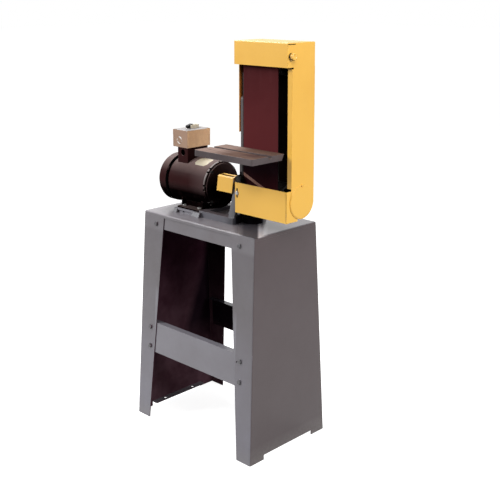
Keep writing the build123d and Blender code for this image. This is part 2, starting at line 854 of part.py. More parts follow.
spigot_inner = spigot_radius - shell_wall
bell_wall = bell_face - bell_end_wall
hub_radius = motor_bearing_radius + bell_hub_wall
inner_hub_radius = bearing_seat + bell_skin
bearing_back = bell_wall - motor_bearing_width
bell_rim_face = shell_right + bell_rim
bell_step_face = bell_rim_face + bell_step
with BuildPart(home) as motor_front_bell:
    turned([
        (shell_right - bell_spigot, spigot_inner),
        (shell_right - bell_spigot, spigot_radius),
        (shell_right, spigot_radius),
        (shell_right, bell_rim_radius),
        (bell_rim_face, bell_rim_radius),
        (bell_rim_face, bell_step_radius),
        (bell_step_face, bell_step_radius),
        (bell_step_face + bell_bevel / 2, bell_step_radius - bell_bevel),
        (bell_face - bell_hub_step, hub_radius + bell_bevel),
        (bell_face, hub_radius),
        (bell_face, shaft_hole),
        (bell_wall, shaft_hole),
        (bell_wall, bearing_seat),
        (bearing_back, bearing_seat),
        (bearing_back, inner_hub_radius),
        (shell_right + bell_end_wall, inner_hub_radius + bell_skin),
        (shell_right + bell_end_wall / 2, spigot_inner - bell_end_wall),
        (shell_right - bell_end_wall, spigot_inner),
    ])
    crown = (stand_x + bell_rim_face, stand_y, shaft_z + bell_rim_radius)
    fillet(motor_front_bell.edges().sort_by_distance(crown)[0], bell_rim_round)
    notch_length = bell_rim_radius - bell_notch_floor + overrun
    notch_middle = bell_notch_floor + notch_length / 2
    with BuildSketch(side_plane(shell_right + bell_notch_back)) as notches:
        with Locations((0, shaft_z)):
            for turn in (-bell_notch_angle, bell_notch_angle):
                with PolarLocations(notch_middle, bell_lug_count, turn):
                    Rectangle(notch_length, bell_notch_width)
    extrude(notches.sketch, bell_depth, mode=Mode.SUBTRACT)
    bolt_face = bell_rim_face + bell_bolt_seat
    for y, z in through_places:
        start = (shell_right - bell_spigot, y, z)
        bar("x", through_bolt_radius + hole_play, start, bell_depth * 2, Mode.SUBTRACT)
        bar("x", through_bolt_flats / sqrt(3) + hole_play, (bolt_face, y, z), bell_depth, Mode.SUBTRACT)

rear_wall_left = rear_bell_left - bell_hub_step
rear_seat_left = rear_wall_left + bell_end_wall
rear_seat_right = rear_seat_left + motor_bearing_width
with BuildPart(home) as motor_rear_bell:
    turned([
        (shell_left + bell_spigot, spigot_inner),
        (shell_left + bell_spigot, spigot_radius),
        (shell_left, spigot_radius),
        (shell_left, rear_bell_radius + rear_bell_rim),
        (shell_left - bell_gutter, rear_bell_radius + rear_bell_rim),
        (shell_left - bell_gutter, rear_bell_radius),
        (rear_bell_left, rear_bell_radius),
        (rear_bell_left, hub_radius + bell_bevel),
        (rear_wall_left, hub_radius),
        (rear_wall_left, shaft_hole),
        (rear_seat_left, shaft_hole),
        (rear_seat_left, bearing_seat),
        (rear_seat_right, bearing_seat),
        (rear_seat_right, inner_hub_radius),
        (shell_left - bell_hub_step, inner_hub_radius + bell_skin),
        (shell_left - bell_hub_step, spigot_inner - bell_end_wall),
        (shell_left + bell_gutter, spigot_inner),
    ])
    lug_outer = fan_cover_radius - fan_cover_sheet - seat_fit
    with BuildSketch(side_plane(rear_bell_left - fan_lug_lead)) as lugs:
        with Locations((0, shaft_z)):
            with PolarLocations((lug_outer + rear_bell_radius - fan_lug_root) / 2, 3, 30):
                Rectangle(lug_outer - rear_bell_radius + fan_lug_root, fan_lug_width)
            Circle(lug_outer, mode=Mode.INTERSECT)
    extrude(lugs.sketch, fan_lug_length)
    for y, z in through_places:
        bar("x", through_bolt_radius + seat_fit, (shell_left, y, z), bell_spigot, Mode.SUBTRACT)

dome_left = fan_cover_left - fan_cover_dome
dome_bend = fan_cover_left - fan_cover_dome * 0.7
dome_flat = fan_cover_radius - 3 * fan_cover_round
with BuildPart(home) as fan_cover:
    thin = fan_cover_sheet
    turned([
        (rear_bell_left, fan_cover_radius - thin),
        (rear_bell_left, fan_cover_radius),
        (fan_cover_left, fan_cover_radius),
        (dome_bend, fan_cover_radius - fan_cover_round),
        (dome_left, dome_flat),
        (dome_left, 0),
        (dome_left + thin, 0),
        (dome_left + thin, dome_flat - thin / 2),
        (dome_bend + thin * 0.8, fan_cover_radius - fan_cover_round - thin * 0.9),
        (fan_cover_left + thin * 0.2, fan_cover_radius - thin),
    ])
    with BuildSketch(side_plane(dome_left - overrun)) as vents:
        with Locations((0, shaft_z)):
            with PolarLocations(fan_cover_radius * 0.5, vent_count):
                SlotOverall(fan_cover_radius * 0.42, vent_width)
    extrude(vents.sketch, 3 * thin, mode=Mode.SUBTRACT)

with BuildPart(home) as stator_core:
    roller(spigot_radius, stator_left, stator_right)
    roller(stator_bore, stator_left, stator_right, mode=Mode.SUBTRACT)
    for y, z in through_places:
        start = (stator_left, y, z)
        bar("x", through_bolt_radius + 2 * hole_play, start, stator_right - stator_left, Mode.SUBTRACT)

with BuildPart(home) as stator_windings:
    for left in (stator_left - winding_length, stator_right):
        right = left + winding_length
        turned([(left, winding_inner), (left, winding_outer), (right, winding_outer), (right, winding_inner)])
    fillet(stator_windings.edges().filter_by(GeomType.CIRCLE), winding_length / 4)

fan_right = rear_wall_left - fan_gap
fan_left = fan_right - fan_width
with BuildPart(home) as rotor:
    roller(fan_seat_radius, fan_left, fan_right + fan_gap / 2)
    roller(rotor_shaft_radius, fan_right, bell_face)
    roller(shaft_end_radius, bell_face, rotor_end)
    roller(stator_bore - rotor_air_gap, stator_left, stator_right)
    roller(stator_bore * rotor_ring_share, stator_left - rotor_ring, stator_right + rotor_ring)
    chamfer(rotor.faces().sort_by(Axis.X)[-1].edges(), shaft_chamfer)

with BuildPart(home) as cooling_fan:
    with BuildSketch(side_plane(fan_left)) as blades:
        with Locations((0, shaft_z)):
            Circle(fan_hub_radius)
            with PolarLocations((fan_hub_radius + fan_blade_radius - fan_blade) / 2, fan_count):
                Rectangle(fan_blade_radius - fan_hub_radius + fan_blade, fan_blade)
    extrude(blades.sketch, fan_width)
    roller(fan_blade_radius, fan_right - fan_plate, fan_right)
    roller(fan_seat_radius + seat_fit, fan_left, fan_right, mode=Mode.SUBTRACT)

with BuildPart(home) as shaft_bearings:
    motor_rings = (bell_wall - motor_bearing_width, rear_seat_left)
    for left in motor_rings:
        roller(motor_bearing_radius, left, left + motor_bearing_width)
        roller(rotor_shaft_radius + running_fit, left, left + motor_bearing_width, mode=Mode.SUBTRACT)
    for left in (bearing_left, bearing_right):
        roller(arbor_bearing_radius, left, left + arbor_bearing_width - seat_fit)
        roller(arbor_radius + running_fit, left, left + arbor_bearing_width, mode=Mode.SUBTRACT)

through_length = bolt_face - shell_left - bell_bolt_seat
through_bolt = hex_bolt(through_bolt_radius, through_length, through_bolt_flats, through_bolt_head)
with BuildPart(home) as through_bolts:
    with Locations(*[facing((bolt_face, y, z), (1, 0, 0)) for y, z in through_places]):
        add(through_bolt)

with BuildPart(home) as rating_plate:
    plate_radius = shell_seat + plate_thickness
    plate = [
        (plate_left, shell_seat),
        (plate_left, plate_radius),
        (plate_right, plate_radius),
        (plate_right, shell_seat),
    ]
    turned(plate, plate_start, plate_arc)
    corners = rating_plate.edges().filter_by(lambda edge: edge.length < 2 * plate_thickness)
    chamfer(corners, plate_corner)

# Conduit box and switch
with BuildPart(home) as conduit_box:
    block((conduit_left, conduit_right), (conduit_front, conduit_back), (shaft_z, conduit_top_z))
    fillet(conduit_box.edges().filter_by(Axis.Z), conduit_wall)
    inner = conduit_wall
    block((conduit_left + inner, conduit_right - inner), (conduit_front + inner, conduit_back - inner),
          (shaft_z, conduit_top_z), Mode.SUBTRACT)
    with BuildSketch(side_plane(conduit_left)) as floor:
        with Locations((0, shaft_z)):
            Circle(shell_seat + conduit_wall)
        with Locations(((conduit_front + conduit_back) / 2, shaft_z + conduit_top / 2)):
            Rectangle(conduit_back - conduit_front - conduit_wall, conduit_top, mode=Mode.INTERSECT)
    extrude(floor.sketch, conduit_right - conduit_left)
    roller(shell_seat, conduit_left - overrun, conduit_right + overrun, mode=Mode.SUBTRACT)
    start = (conduit_hole_x, conduit_front - overrun, conduit_top_z - conduit_hole_drop)
    bar("y", conduit_hole_radius, start, conduit_wall + 2 * overrun, Mode.SUBTRACT)

switch_mid_x = (switch_left + switch_right) / 2
switch_mid_y = (switch_front + switch_back) / 2
lid_grid_x = switch_right - switch_left - 2 * lid_screw_inset
lid_grid_y = switch_back - switch_front - 2 * lid_screw_inset

with BuildPart(home) as switch_box:
    block((switch_left, switch_right), (switch_front, switch_back), (conduit_top_z, lid_top))
    fillet(switch_box.edges().filter_by(Axis.Z), switch_fold)
    wall = switch_wall
    block((switch_left + wall, switch_right - wall), (switch_front + wall, switch_back - wall),
          (conduit_top_z + wall, lid_top), Mode.SUBTRACT)
    seam_z = (conduit_top_z - overrun, lid_top + overrun)
    seam_x = switch_left + switch_seam_inset
    seam_y = switch_back - switch_seam_inset
    front_skin = (switch_front - overrun, switch_front + wall / 2)
    right_skin = (switch_right - wall / 2, switch_right + overrun)
    block((seam_x, seam_x + switch_seam), front_skin, seam_z, Mode.SUBTRACT)
    block(right_skin, (seam_y - switch_seam, seam_y), seam_z, Mode.SUBTRACT)
    with Locations((switch_mid_x, switch_mid_y, switch_top)):
        with GridLocations(lid_grid_x, lid_grid_y, 2, 2):
            Box(2 * lid_screw_inset, 2 * lid_screw_inset, lid_post, align=FROM_TOP)
            Cylinder(lid_screw_radius + seat_fit, lid_post * 1.5, mode=Mode.SUBTRACT)
    start = ((conduit_left + conduit_right) / 2, 0, conduit_top_z - overrun)
    bar("z", conduit_hole_radius, start, wall + 2 * overrun, Mode.SUBTRACT)
    with BuildSketch(front_plane(switch_front)) as knockout:
        with Locations((knockout_x, conduit_top_z + knockout_rise)):
            Circle(knockout_radius)
            Circle(knockout_radius - knockout_groove, mode=Mode.SUBTRACT)
            Rectangle(knockout_radius, knockout_groove)
    extrude(knockout.sketch, -wall / 2, mode=Mode.SUBTRACT)

with BuildPart(home) as switch_lid:
    margin = switch_wall + lid_gap
    block((switch_left + margin, switch_right - margin), (switch_front + margin, switch_back - margin),
          (switch_top, lid_top))
    fillet(switch_lid.faces().sort_by(Axis.Z)[-1].edges(), lid_edge)
    with Locations((switch_mid_x, switch_mid_y, switch_top)):
        with GridLocations(lid_grid_x, lid_grid_y, 2, 2):
            Cylinder(lid_screw_radius + hole_play, 4 * lid_thickness, mode=Mode.SUBTRACT)

lid_screw = round_screw(lid_screw_radius, lid_thickness + lid_screw_bite, lid_screw_head, lid_screw_rise)
with BuildPart(home) as lid_screws:
    with Locations((switch_mid_x, switch_mid_y, lid_top)):
        with GridLocations(lid_grid_x, lid_grid_y, 2, 2):
            add(lid_screw)

bezel_mid = (bezel_left + bezel_right) / 2
bezel_top = lid_top + bezel_height
with BuildPart(home) as switch_bezel:
    block((bezel_left, bezel_right), (bezel_front, bezel_back), (lid_top, bezel_top))
    fillet(switch_bezel.edges().filter_by(Axis.Z), bezel_height / 4)
    fillet(switch_bezel.faces().sort_by(Axis.Z)[-1].edges(), bezel_height / 6)
    slot_y = (bezel_front - overrun, lever_y + lever_radius + hole_play)
    block((bezel_mid - bezel_slot / 2, bezel_mid + bezel_slot / 2), slot_y,
          (lid_top, bezel_top + overrun), Mode.SUBTRACT)

lever_turn = lever_dip * pi / 180
with BuildPart(home) as toggle_lever:
    lever_width = bezel_slot - 2 * slide_fit
    tip_y = lever_y - lever_reach * cos(lever_turn)
    tip_z = lever_z - lever_reach * sin(lever_turn)
    with BuildSketch(side_plane(bezel_mid - lever_width / 2)) as paddle:
        with Locations((lever_y, lever_z)):
            pivot_end = Circle(lever_radius)
        with Locations((tip_y, tip_z)):
            tip_end = Circle(lever_tip_radius)
        make_hull(pivot_end.edges() + tip_end.edges())
    extrude(paddle.sketch, lever_width)
    fillet(toggle_lever.faces().filter_by(Axis.X).edges(), lever_radius / 4)

# Coupling and drive
motor_hub_right = coupling_left + coupling_hub_length
arbor_hub_left = motor_hub_right + coupling_jaw_length + coupling_end_gap
arbor_hub_right = arbor_hub_left + coupling_hub_length


def pie(arc, count, start, inner, plane):
    """Ring sectors round the shaft line, as a sketch on a plane across X."""
    half = arc * pi / 360
    far = 2 * coupling_radius
    with BuildSketch(plane) as sectors:
        with Locations((0, shaft_z)):
            with PolarLocations(0, count, start):
                corner = (far * cos(half), far * sin(half))
                Polygon((0, 0), (corner[0], -corner[1]), corner, align=None)
            Circle(coupling_radius, mode=Mode.INTERSECT)
            if inner > 0:
                Circle(inner, mode=Mode.SUBTRACT)
    return sectors.sketch


jaw_start = motor_hub_right + coupling_end_gap
jaw_step = 90 / coupling_jaw_count
with BuildPart(home) as motor_coupling_hub:
    roller(coupling_radius, coupling_left, motor_hub_right)
    jaws = pie(coupling_jaw_arc, coupling_jaw_count, 0, coupling_jaw_inner, side_plane(motor_hub_right))
    extrude(jaws, coupling_jaw_length)
    roller(shaft_end_radius + seat_fit, coupling_left, arbor_hub_right, mode=Mode.SUBTRACT)

with BuildPart(home) as arbor_coupling_hub:
    roller(coupling_radius, arbor_hub_left, arbor_hub_right)
    jaws = pie(coupling_jaw_arc, coupling_jaw_count, 2 * jaw_step, coupling_jaw_inner, side_plane(jaw_start))
    extrude(jaws, coupling_jaw_length)
    roller(arbor_radius + seat_fit, arbor_hub_left, arbor_hub_right, mode=Mode.SUBTRACT)

with BuildPart(home) as coupling_spider:
    spider_length = coupling_jaw_length - coupling_end_gap
    legs = pie(spider_arc, 2 * coupling_jaw_count, jaw_step, 0, side_plane(jaw_start))
    extrude(legs, spider_length)
    roller(coupling_jaw_inner - seat_fit, jaw_start, jaw_start + spider_length)
    roller(shaft_end_radius + hole_play, motor_hub_right, arbor_hub_left, mode=Mode.SUBTRACT)

drum_hub_right = drum_right - drum_hub_recess
with BuildPart(home) as arbor_shaft:
    roller(arbor_radius, arbor_left, drum_hub_right - shaft_play)
    roller(arbor_collar_radius, boss_end + arm_gap, drum_left)
    roller(arbor_thread_radius, drum_hub_right - shaft_play, drum_hub_right + arbor_thread_length)
    chamfer(arbor_shaft.faces().sort_by(Axis.X)[-1].edges(), shaft_chamfer)

core_radius = drum_radius - lagging_thickness
drum_mid = (drum_left + drum_right) / 2
with BuildPart(home) as drive_drum:
    roller(core_radius, drum_left, drum_right)
    roller(core_radius - drum_rim, drum_left, drum_right, mode=Mode.SUBTRACT)
    roller(drum_hub_radius, drum_left, drum_hub_right)
    roller(core_radius - drum_rim / 2, drum_mid - drum_web / 2, drum_mid + drum_web / 2)
    roller(arbor_radius + seat_fit, drum_left, drum_right, mode=Mode.SUBTRACT)

with BuildPart(home) as drum_lagging:
    roller(drum_radius, drum_left, drum_right)
    roller(core_radius + seat_fit, drum_left, drum_right, mode=Mode.SUBTRACT)

drum_nut_body = hex_nut(arbor_thread_radius, drum_nut_flats, drum_nut_height)
washer_right = drum_hub_right + drum_washer_thickness
with BuildPart(home) as drum_nut:
    roller(drum_washer_radius, drum_hub_right, washer_right)
    roller(arbor_thread_radius + seat_fit, drum_hub_right, washer_right, mode=Mode.SUBTRACT)
    with Locations(facing((washer_right, 0, shaft_z), (-1, 0, 0))):
        add(drum_nut_body)

with BuildPart(home) as coupling_guard:
    thin = guard_sheet
    guard_top = shaft_z + guard_top_rise
    guard_foot = shaft_z + guard_foot_rise
    section = [
        (guard_foot_y, guard_foot),
        (guard_top_y, guard_top),
        (guard_flange_back, guard_top + thin),
        (guard_flange_back, guard_top),
        (guard_top_y + thin, guard_top - thin),
        (guard_foot_y + thin, guard_foot),
    ]
    prism_x(section, guard_left, upright_left)
    bend = (stand_x, stand_y + guard_top_y, guard_top)
    fillet(coupling_guard.edges().filter_by(Axis.X).sort_by_distance(bend)[0], guard_bend)
    block(guard_slot, guard_slot_y, (guard_top - 2 * thin, guard_top + 2 * thin), Mode.SUBTRACT)
    tab = [
        (guard_tab_front, guard_top - thin / 2),
        (guard_flange_back, guard_top),
        (guard_flange_back, guard_top - guard_tab_drop),
        (guard_tab_front, guard_top - guard_tab_drop),
    ]
    prism_x(tab, upright_left - thin, upright_left)
    for y in guard_screw_y:
        start = (upright_left - 2 * thin, y, shaft_z + guard_screw_rise)
        bar("x", arm_hole, start, 3 * thin, Mode.SUBTRACT)

# Tilting arm
arm_bore = boss_radius + running_fit
clamp_bolt_x = (hub_left + arm_right) / 2 + clamp_bolt_offset
flange_mid_y = -belt_inner_radius + belt_gap + platen_flange * 0.6

with BuildPart(home) as tilt_arm:
    block((arm_left, arm_right), (arm_front, arm_back), (shaft_z, arm_top))
    fillet(tilt_arm.edges().filter_by(Axis.X).group_by(Axis.Z)[-1], arm_corner)
    with BuildSketch(side_plane(arm_left)) as window:
        window_z = shaft_z + (arm_window_bottom + arm_window_top) / 2
        with Locations(((arm_window_front + arm_window_back) / 2, window_z)):
            RectangleRounded(arm_window_back - arm_window_front, arm_window_top - arm_window_bottom,
                             arm_window_radius)
    extrude(window.sketch, arm_thickness, mode=Mode.SUBTRACT)
    half = slide_width / 2 + slide_fit / 2
    block((arm_left, arm_right), (-half, half), (slot_bottom, arm_top + overrun), Mode.SUBTRACT)
    for rise in lug_rise:
        block((arm_left, arm_right), (arm_back - overrun, rear_panel_front),
              (shaft_z + rise - lug_height / 2, shaft_z + rise + lug_height / 2))
    roller(arm_hub_radius, hub_left, arm_right)
    ear_z = (shaft_z - ear_height / 2, shaft_z + ear_height / 2)
    block((hub_left, arm_right), (boss_radius, ear_reach), ear_z)
    fillet(tilt_arm.edges().filter_by(Axis.X).group_by(Axis.Y)[-1], ear_height / 4)
    roller(arm_bore, hub_left - overrun, arm_right + overrun, mode=Mode.SUBTRACT)
    block((hub_left - overrun, arm_right + overrun), (boss_radius - overrun, ear_reach + overrun),
          (shaft_z - ear_slit / 2, shaft_z + ear_slit / 2), Mode.SUBTRACT)
    start = (clamp_bolt_x, clamp_bolt_y, shaft_z - ear_height)
    bar("z", clamp_bolt_radius + hole_play, start, 2 * ear_height, Mode.SUBTRACT)
    for rise in platen_screw_rise:
        place = (arm_right - arm_screw_length, flange_mid_y, shaft_z + rise)
        bar("x", tapped, place, arm_screw_length, Mode.SUBTRACT)
    for rise in lug_rise:
        place = (arm_mid, rear_panel_front - arm_screw_length, shaft_z + rise)
        bar("y", tapped, place, arm_screw_length, Mode.SUBTRACT)
    for y in (-keeper_screw_x, keeper_screw_x):
        for step in (-1, 1):
            place = (arm_left, y, keeper_mid + step * keeper_screw_pitch / 2)
            bar("x", arm_hole, place, arm_thickness, Mode.SUBTRACT)
    bar("y", knob_stud_radius + seat_fit, (arm_mid, arm_front, knob_z), knob_stud_length, Mode.SUBTRACT)

clamp_length = ear_height + clamp_nut_height + clamp_bolt_tail
clamp_head = hex_bolt(clamp_bolt_radius, clamp_length, clamp_bolt_flats, clamp_bolt_head)
clamp_nut = hex_nut(clamp_bolt_radius, clamp_bolt_flats, clamp_nut_height)
with BuildPart(home) as tilt_clamp_bolt:
    with Locations((clamp_bolt_x, clamp_bolt_y, shaft_z + ear_height / 2)):
        add(clamp_head)
    with Locations((clamp_bolt_x, clamp_bolt_y, shaft_z - ear_height / 2)):
        add(clamp_nut)

platen_front = -belt_inner_radius + belt_gap
with BuildPart(home) as platen:
    block((arm_right, belt_right - platen_right_inset), (platen_front, platen_front + platen_thickness),
          (shaft_z + platen_bottom_rise, shaft_z + platen_top_rise))
    block((arm_right, arm_right + platen_thickness), (platen_front, platen_front + platen_flange),
          (shaft_z + platen_bottom_rise, shaft_z + platen_flange_top_rise))
    for rise in platen_screw_rise:
        bar("x", arm_hole, (arm_right, flange_mid_y, shaft_z + rise), platen_thickness, Mode.SUBTRACT)

with BuildPart(home) as slide_keepers:
    for left in (arm_left - keeper_thickness, arm_right):
        block((left, left + keeper_thickness), (-keeper_width / 2, keeper_width / 2),
              (keeper_top - keeper_height, keeper_top))
    for y in (-keeper_screw_x, keeper_screw_x):
        for step in (-1, 1):
            z = keeper_mid + step * keeper_screw_pitch / 2
            bar("x", tapped, (arm_left - keeper_thickness, y, z), keeper_thickness, Mode.SUBTRACT)
            bar("x", arm_hole, (arm_right, y, z), keeper_thickness, Mode.SUBTRACT)

platen_length = platen_thickness + arm_screw_length - hole_play
platen_screw = round_screw(arm_screw_radius, platen_length, arm_screw_head_radius, arm_screw_head)
keeper_length = arm_thickness + 2 * keeper_thickness
keeper_screw = round_screw(arm_screw_radius, keeper_length, arm_screw_head_radius, arm_screw_head)
lug_length = cover_sheet + arm_screw_length - hole_play
lug_screw = round_screw(arm_screw_radius, lug_length, arm_screw_head_radius, arm_screw_head)
with BuildPart(home) as arm_screws:
    head_x = arm_right + platen_thickness
    platen_spots = [(head_x, flange_mid_y, shaft_z + rise) for rise in platen_screw_rise]
    with Locations(*[facing(spot, (1, 0, 0)) for spot in platen_spots]):
        add(platen_screw)
    keeper_places = [(y, keeper_mid + step * keeper_screw_pitch / 2)
                     for y in (-keeper_screw_x, keeper_screw_x) for step in (-1, 1)]
    with Locations(*[facing((arm_right + keeper_thickness, y, z), (1, 0, 0)) for y, z in keeper_places]):
        add(keeper_screw)
    with Locations(*[facing((arm_mid, rear_panel_back, shaft_z + rise), (0, 1, 0)) for rise in lug_rise]):
        add(lug_screw)

# Tension slide and idler
with BuildPart(home) as tension_slide:
    block((arm_left + slide_fit, arm_right - slide_fit), (-slide_width / 2, slide_width / 2),
          (slide_bottom, slide_top))
    fillet(tension_slide.edges().filter_by(Axis.X).group_by(Axis.Z)[-1], slide_width / 3)
    roller(axle_radius + seat_fit, arm_left, arm_right, idler_z, Mode.SUBTRACT)
    roller(tracking_screw_radius + running_fit, arm_left, arm_right, tracking_z, Mode.SUBTRACT)

with BuildPart(home) as tension_spring:
    bar("z", spring_outer_radius, (arm_mid, 0, slot_bottom), spring_length)
    bar("z", spring_outer_radius - spring_wire, (arm_mid, 0, slot_bottom), spring_length, Mode.SUBTRACT)

idler_ring_left = drum_left + idler_bearing_inset
idler_ring_right = drum_right - idler_bearing_inset - idler_bearing_width
with BuildPart(home) as idler_axle:
    roller(axle_radius, axle_left, drum_right, idler_z)
    roller(axle_collar_radius, arm_right - slide_fit, idler_ring_left, idler_z)
    roller(axle_nut_radius, idler_ring_right + idler_bearing_width, drum_right, idler_z)

with BuildPart(home) as idler_bearings:
    for left in (idler_ring_left, idler_ring_right):
        roller(idler_bearing_radius, left, left + idler_bearing_width, idler_z)
        roller(axle_radius + seat_fit, left, left + idler_bearing_width, idler_z, Mode.SUBTRACT)

with BuildPart(home) as idler_drum:
    seat = idler_bearing_radius + running_fit
    depth = idler_bearing_inset + idler_bearing_width + slide_fit
    roller(drum_radius, drum_left, drum_right, idler_z)
    roller(drum_radius - idler_rim, drum_left, drum_right, idler_z, Mode.SUBTRACT)
    roller(idler_hub_radius, drum_left, drum_right, idler_z)
    roller(drum_radius - idler_rim / 2, drum_mid - drum_web / 2, drum_mid + drum_web / 2, idler_z)
    roller(idler_hub_bore, drum_left, drum_right, idler_z, Mode.SUBTRACT)
    roller(seat, drum_left, drum_left + depth, idler_z, Mode.SUBTRACT)
    roller(seat, drum_right - depth, drum_right, idler_z, Mode.SUBTRACT)

knob_face = cover_left - tracking_knob_gap
with BuildPart(home) as tracking_knob:
    roller(tracking_knob_radius, knob_face - tracking_knob_length, knob_face, tracking_z)
    fillet(tracking_knob.edges().filter_by(GeomType.CIRCLE), tracking_knob_edge)
    roller(tracking_screw_radius, knob_face, arm_right - slide_fit, tracking_z)

with BuildPart(home) as abrasive_belt:
    with BuildSketch(side_plane(belt_left)) as loop:
        with Locations((0, (shaft_z + idler_z) / 2)):
            SlotCenterToCenter(idler_z - shaft_z, 2 * belt_outer_radius, rotation=90)
            SlotCenterToCenter(idler_z - shaft_z, 2 * belt_inner_radius, rotation=90, mode=Mode.SUBTRACT)
    extrude(loop.sketch, belt_width)

# Sheet covers of the head
rear_top = cover_top - cover_sheet - rear_top_gap
rear_right = cover_inner - rear_top_gap
with BuildPart(home) as rear_cover:
    wall_bottom = shaft_z + rear_wall_rise
    wall_x = (cover_left, cover_left + cover_sheet)
    panel_z = (shaft_z + rear_bottom_rise, rear_top)
    block((cover_left + rear_edge_gap, rear_right), (rear_panel_front, rear_panel_back), panel_z)
    block(wall_x, (rear_wall_front, rear_panel_back), (wall_bottom, rear_top))
    ear_bottom = hood_bottom + cover_slit
    block(wall_x, (rear_ear_front, rear_wall_front), (ear_bottom, rear_top))
    half = tracking_screw_radius + tracking_slot_play
    block((cover_left - overrun, cover_left + cover_sheet + overrun), (-half, half),
          (tracking_z - tracking_travel - half, tracking_z + half), Mode.SUBTRACT)
    for rise in lug_rise:
        start = (arm_mid, rear_panel_front - overrun, shaft_z + rise)
        bar("y", arm_hole, start, cover_sheet + 2 * overrun, Mode.SUBTRACT)

with BuildPart(home) as cover_straps:
    high = (cover_knob_z - strap_height / 2, cover_knob_z + strap_height / 2)
    low = (shaft_z + strap_low_bottom_rise, shaft_z + strap_low_top_rise)
    foot_low = (shaft_z + rear_bottom_rise + strap_thickness, low[1])
    foot_y = (rear_panel_front - strap_thickness, rear_panel_front)
    for front, level, foot in ((strap_front, high, high), (strap_low_front, low, foot_low)):
        block((strap_left, strap_right), (front, rear_panel_front), level)
        block((strap_right - strap_foot, strap_right), foot_y, foot)
    start = (strap_left, cover_knob_y, cover_knob_z)
    bar("x", cover_stud_radius + running_fit, start, strap_thickness, Mode.SUBTRACT)
    start = (strap_left, 0, shaft_z + cover_screw_rise)
    bar("x", cover_screw_radius + running_fit, start, strap_thickness, Mode.SUBTRACT)

with BuildPart(home) as belt_cover:
    block((cover_left, cover_right), (hood_front, cover_back), (hood_bottom, cover_top))
    upright_edges = belt_cover.edges().filter_by(Axis.Z).group_by(Axis.X)[-1]
    top_edges = belt_cover.faces().sort_by(Axis.Z)[-1].edges().sort_by(Axis.X)[1:]
    fillet(upright_edges + top_edges, cover_edge_radius)
    block((cover_left - overrun, cover_inner), (hood_inner_front, cover_back_inner),
          (hood_bottom - overrun, cover_top - cover_sheet), Mode.SUBTRACT)
    flange_bottom = shaft_z + cover_flange_rise
    flange_top = hood_bottom - cover_slit
    with BuildSketch(side_plane(cover_inner)) as side:
        with Locations((0, shaft_z)):
            Circle(cover_round_radius)
        with Locations(((cover_front + cover_back) / 2, (shaft_z + hood_bottom) / 2)):
            Rectangle(cover_back - cover_front, hood_bottom - shaft_z)
    extrude(side.sketch, cover_sheet)
    block((cover_right - cover_flange_front, cover_right), (cover_front, cover_front + cover_sheet),
          (flange_bottom, flange_top))
    block((cover_right - cover_flange_back, cover_right), (cover_back_inner, cover_back),
          (flange_bottom, hood_bottom))
    folds = belt_cover.edges().filter_by(Axis.Z).filter_by(lambda edge: edge.length > hood_height * 3)
    fillet(folds.group_by(Axis.X)[-1], cover_sheet * 0.9)
    roller(cover_disc_radius, cover_right, cover_right + cover_disc_rise)
    chamfer(belt_cover.faces().sort_by(Axis.X)[-1].edges(), cover_disc_edge)
    place = (cover_right, 0, shaft_z + cover_screw_rise)
    bar("x", cover_screw_head_radius + cover_screw_clearance, place, 2 * cover_disc_rise, Mode.SUBTRACT)
    through_side = (cover_inner - overrun, cover_right + overrun)
    block(through_side, (cover_front - overrun, cover_front + cover_slit_length), (flange_top, hood_bottom),
          Mode.SUBTRACT)
    seam_top = cover_top - seam_drop
    block(through_side, (hood_front - overrun, hood_front + seam_length), (seam_top - seam_width, seam_top),
          Mode.SUBTRACT)
    side_cut = cover_sheet + 2 * overrun
    start = (cover_inner - overrun, cover_knob_y, cover_knob_z)
    bar("x", cover_stud_radius + hole_play, start, side_cut, Mode.SUBTRACT)
    start = (cover_inner - overrun, 0, shaft_z + cover_screw_rise)
    bar("x", cover_screw_radius + hole_play, start, side_cut, Mode.SUBTRACT)

with BuildPart(home) as cover_knob:
    knob_left = cover_right + cover_knob_gap
    bar("x", cover_knob_radius, (knob_left, cover_knob_y, cover_knob_z), cover_knob_length)
    fillet(cover_knob.faces().sort_by(Axis.X)[-1].edges(), cover_knob_length / 4)
    fillet(cover_knob.faces().sort_by(Axis.X)[0].edges(), cover_knob_gap * 4)
    stud_left = knob_left - cover_stud_length
    bar("x", cover_stud_radius, (stud_left, cover_knob_y, cover_knob_z), cover_stud_length)

side_screw = round_screw(cover_screw_radius, cover_screw_length, cover_screw_head_radius, cover_screw_head)
with BuildPart(home) as cover_screw:
    with Locations(facing((cover_right, 0, shaft_z + cover_screw_rise), (1, 0, 0))):
        add(side_screw)

with BuildPart(home) as lower_cover:
    thin = cover_sheet
    block((lower_left, lower_right), (hood_front, lower_return_back), (lower_bottom, lower_top))
    fillet(lower_cover.edges().filter_by(Axis.Z).group_by(Axis.X)[-1].sort_by(Axis.Y)[0], cover_edge_radius)
    block((lower_left - overrun, lower_right - thin), (hood_inner_front, lower_return_back + overrun),
          (lower_bottom - overrun, lower_top + overrun), Mode.SUBTRACT)
    flange_left = upright_right + bracket_width + bracket_gap
    block((flange_left, lower_right - thin), (hood_inner_front, hood_inner_front + lower_flange),
          (lower_bottom, lower_bottom + thin))
    seam_x = (lower_right - thin - lower_seam, lower_right - thin)
    seam_z = (lower_bottom + lower_seam_foot, lower_top + overrun)
    block(seam_x, (hood_front - overrun, hood_inner_front), seam_z, Mode.SUBTRACT)
    slot_z = (shaft_z + lower_slot_low_rise, shaft_z + lower_slot_high_rise)
    half = lower_bolt_radius + hole_play
    through_front = (hood_front - overrun, hood_inner_front + overrun)
    block((lower_bolt_x - half, lower_bolt_x + half), through_front, slot_z, Mode.SUBTRACT)
    for z in slot_z:
        bar("y", half, (lower_bolt_x, hood_front - overrun, z), thin + 2 * overrun, Mode.SUBTRACT)

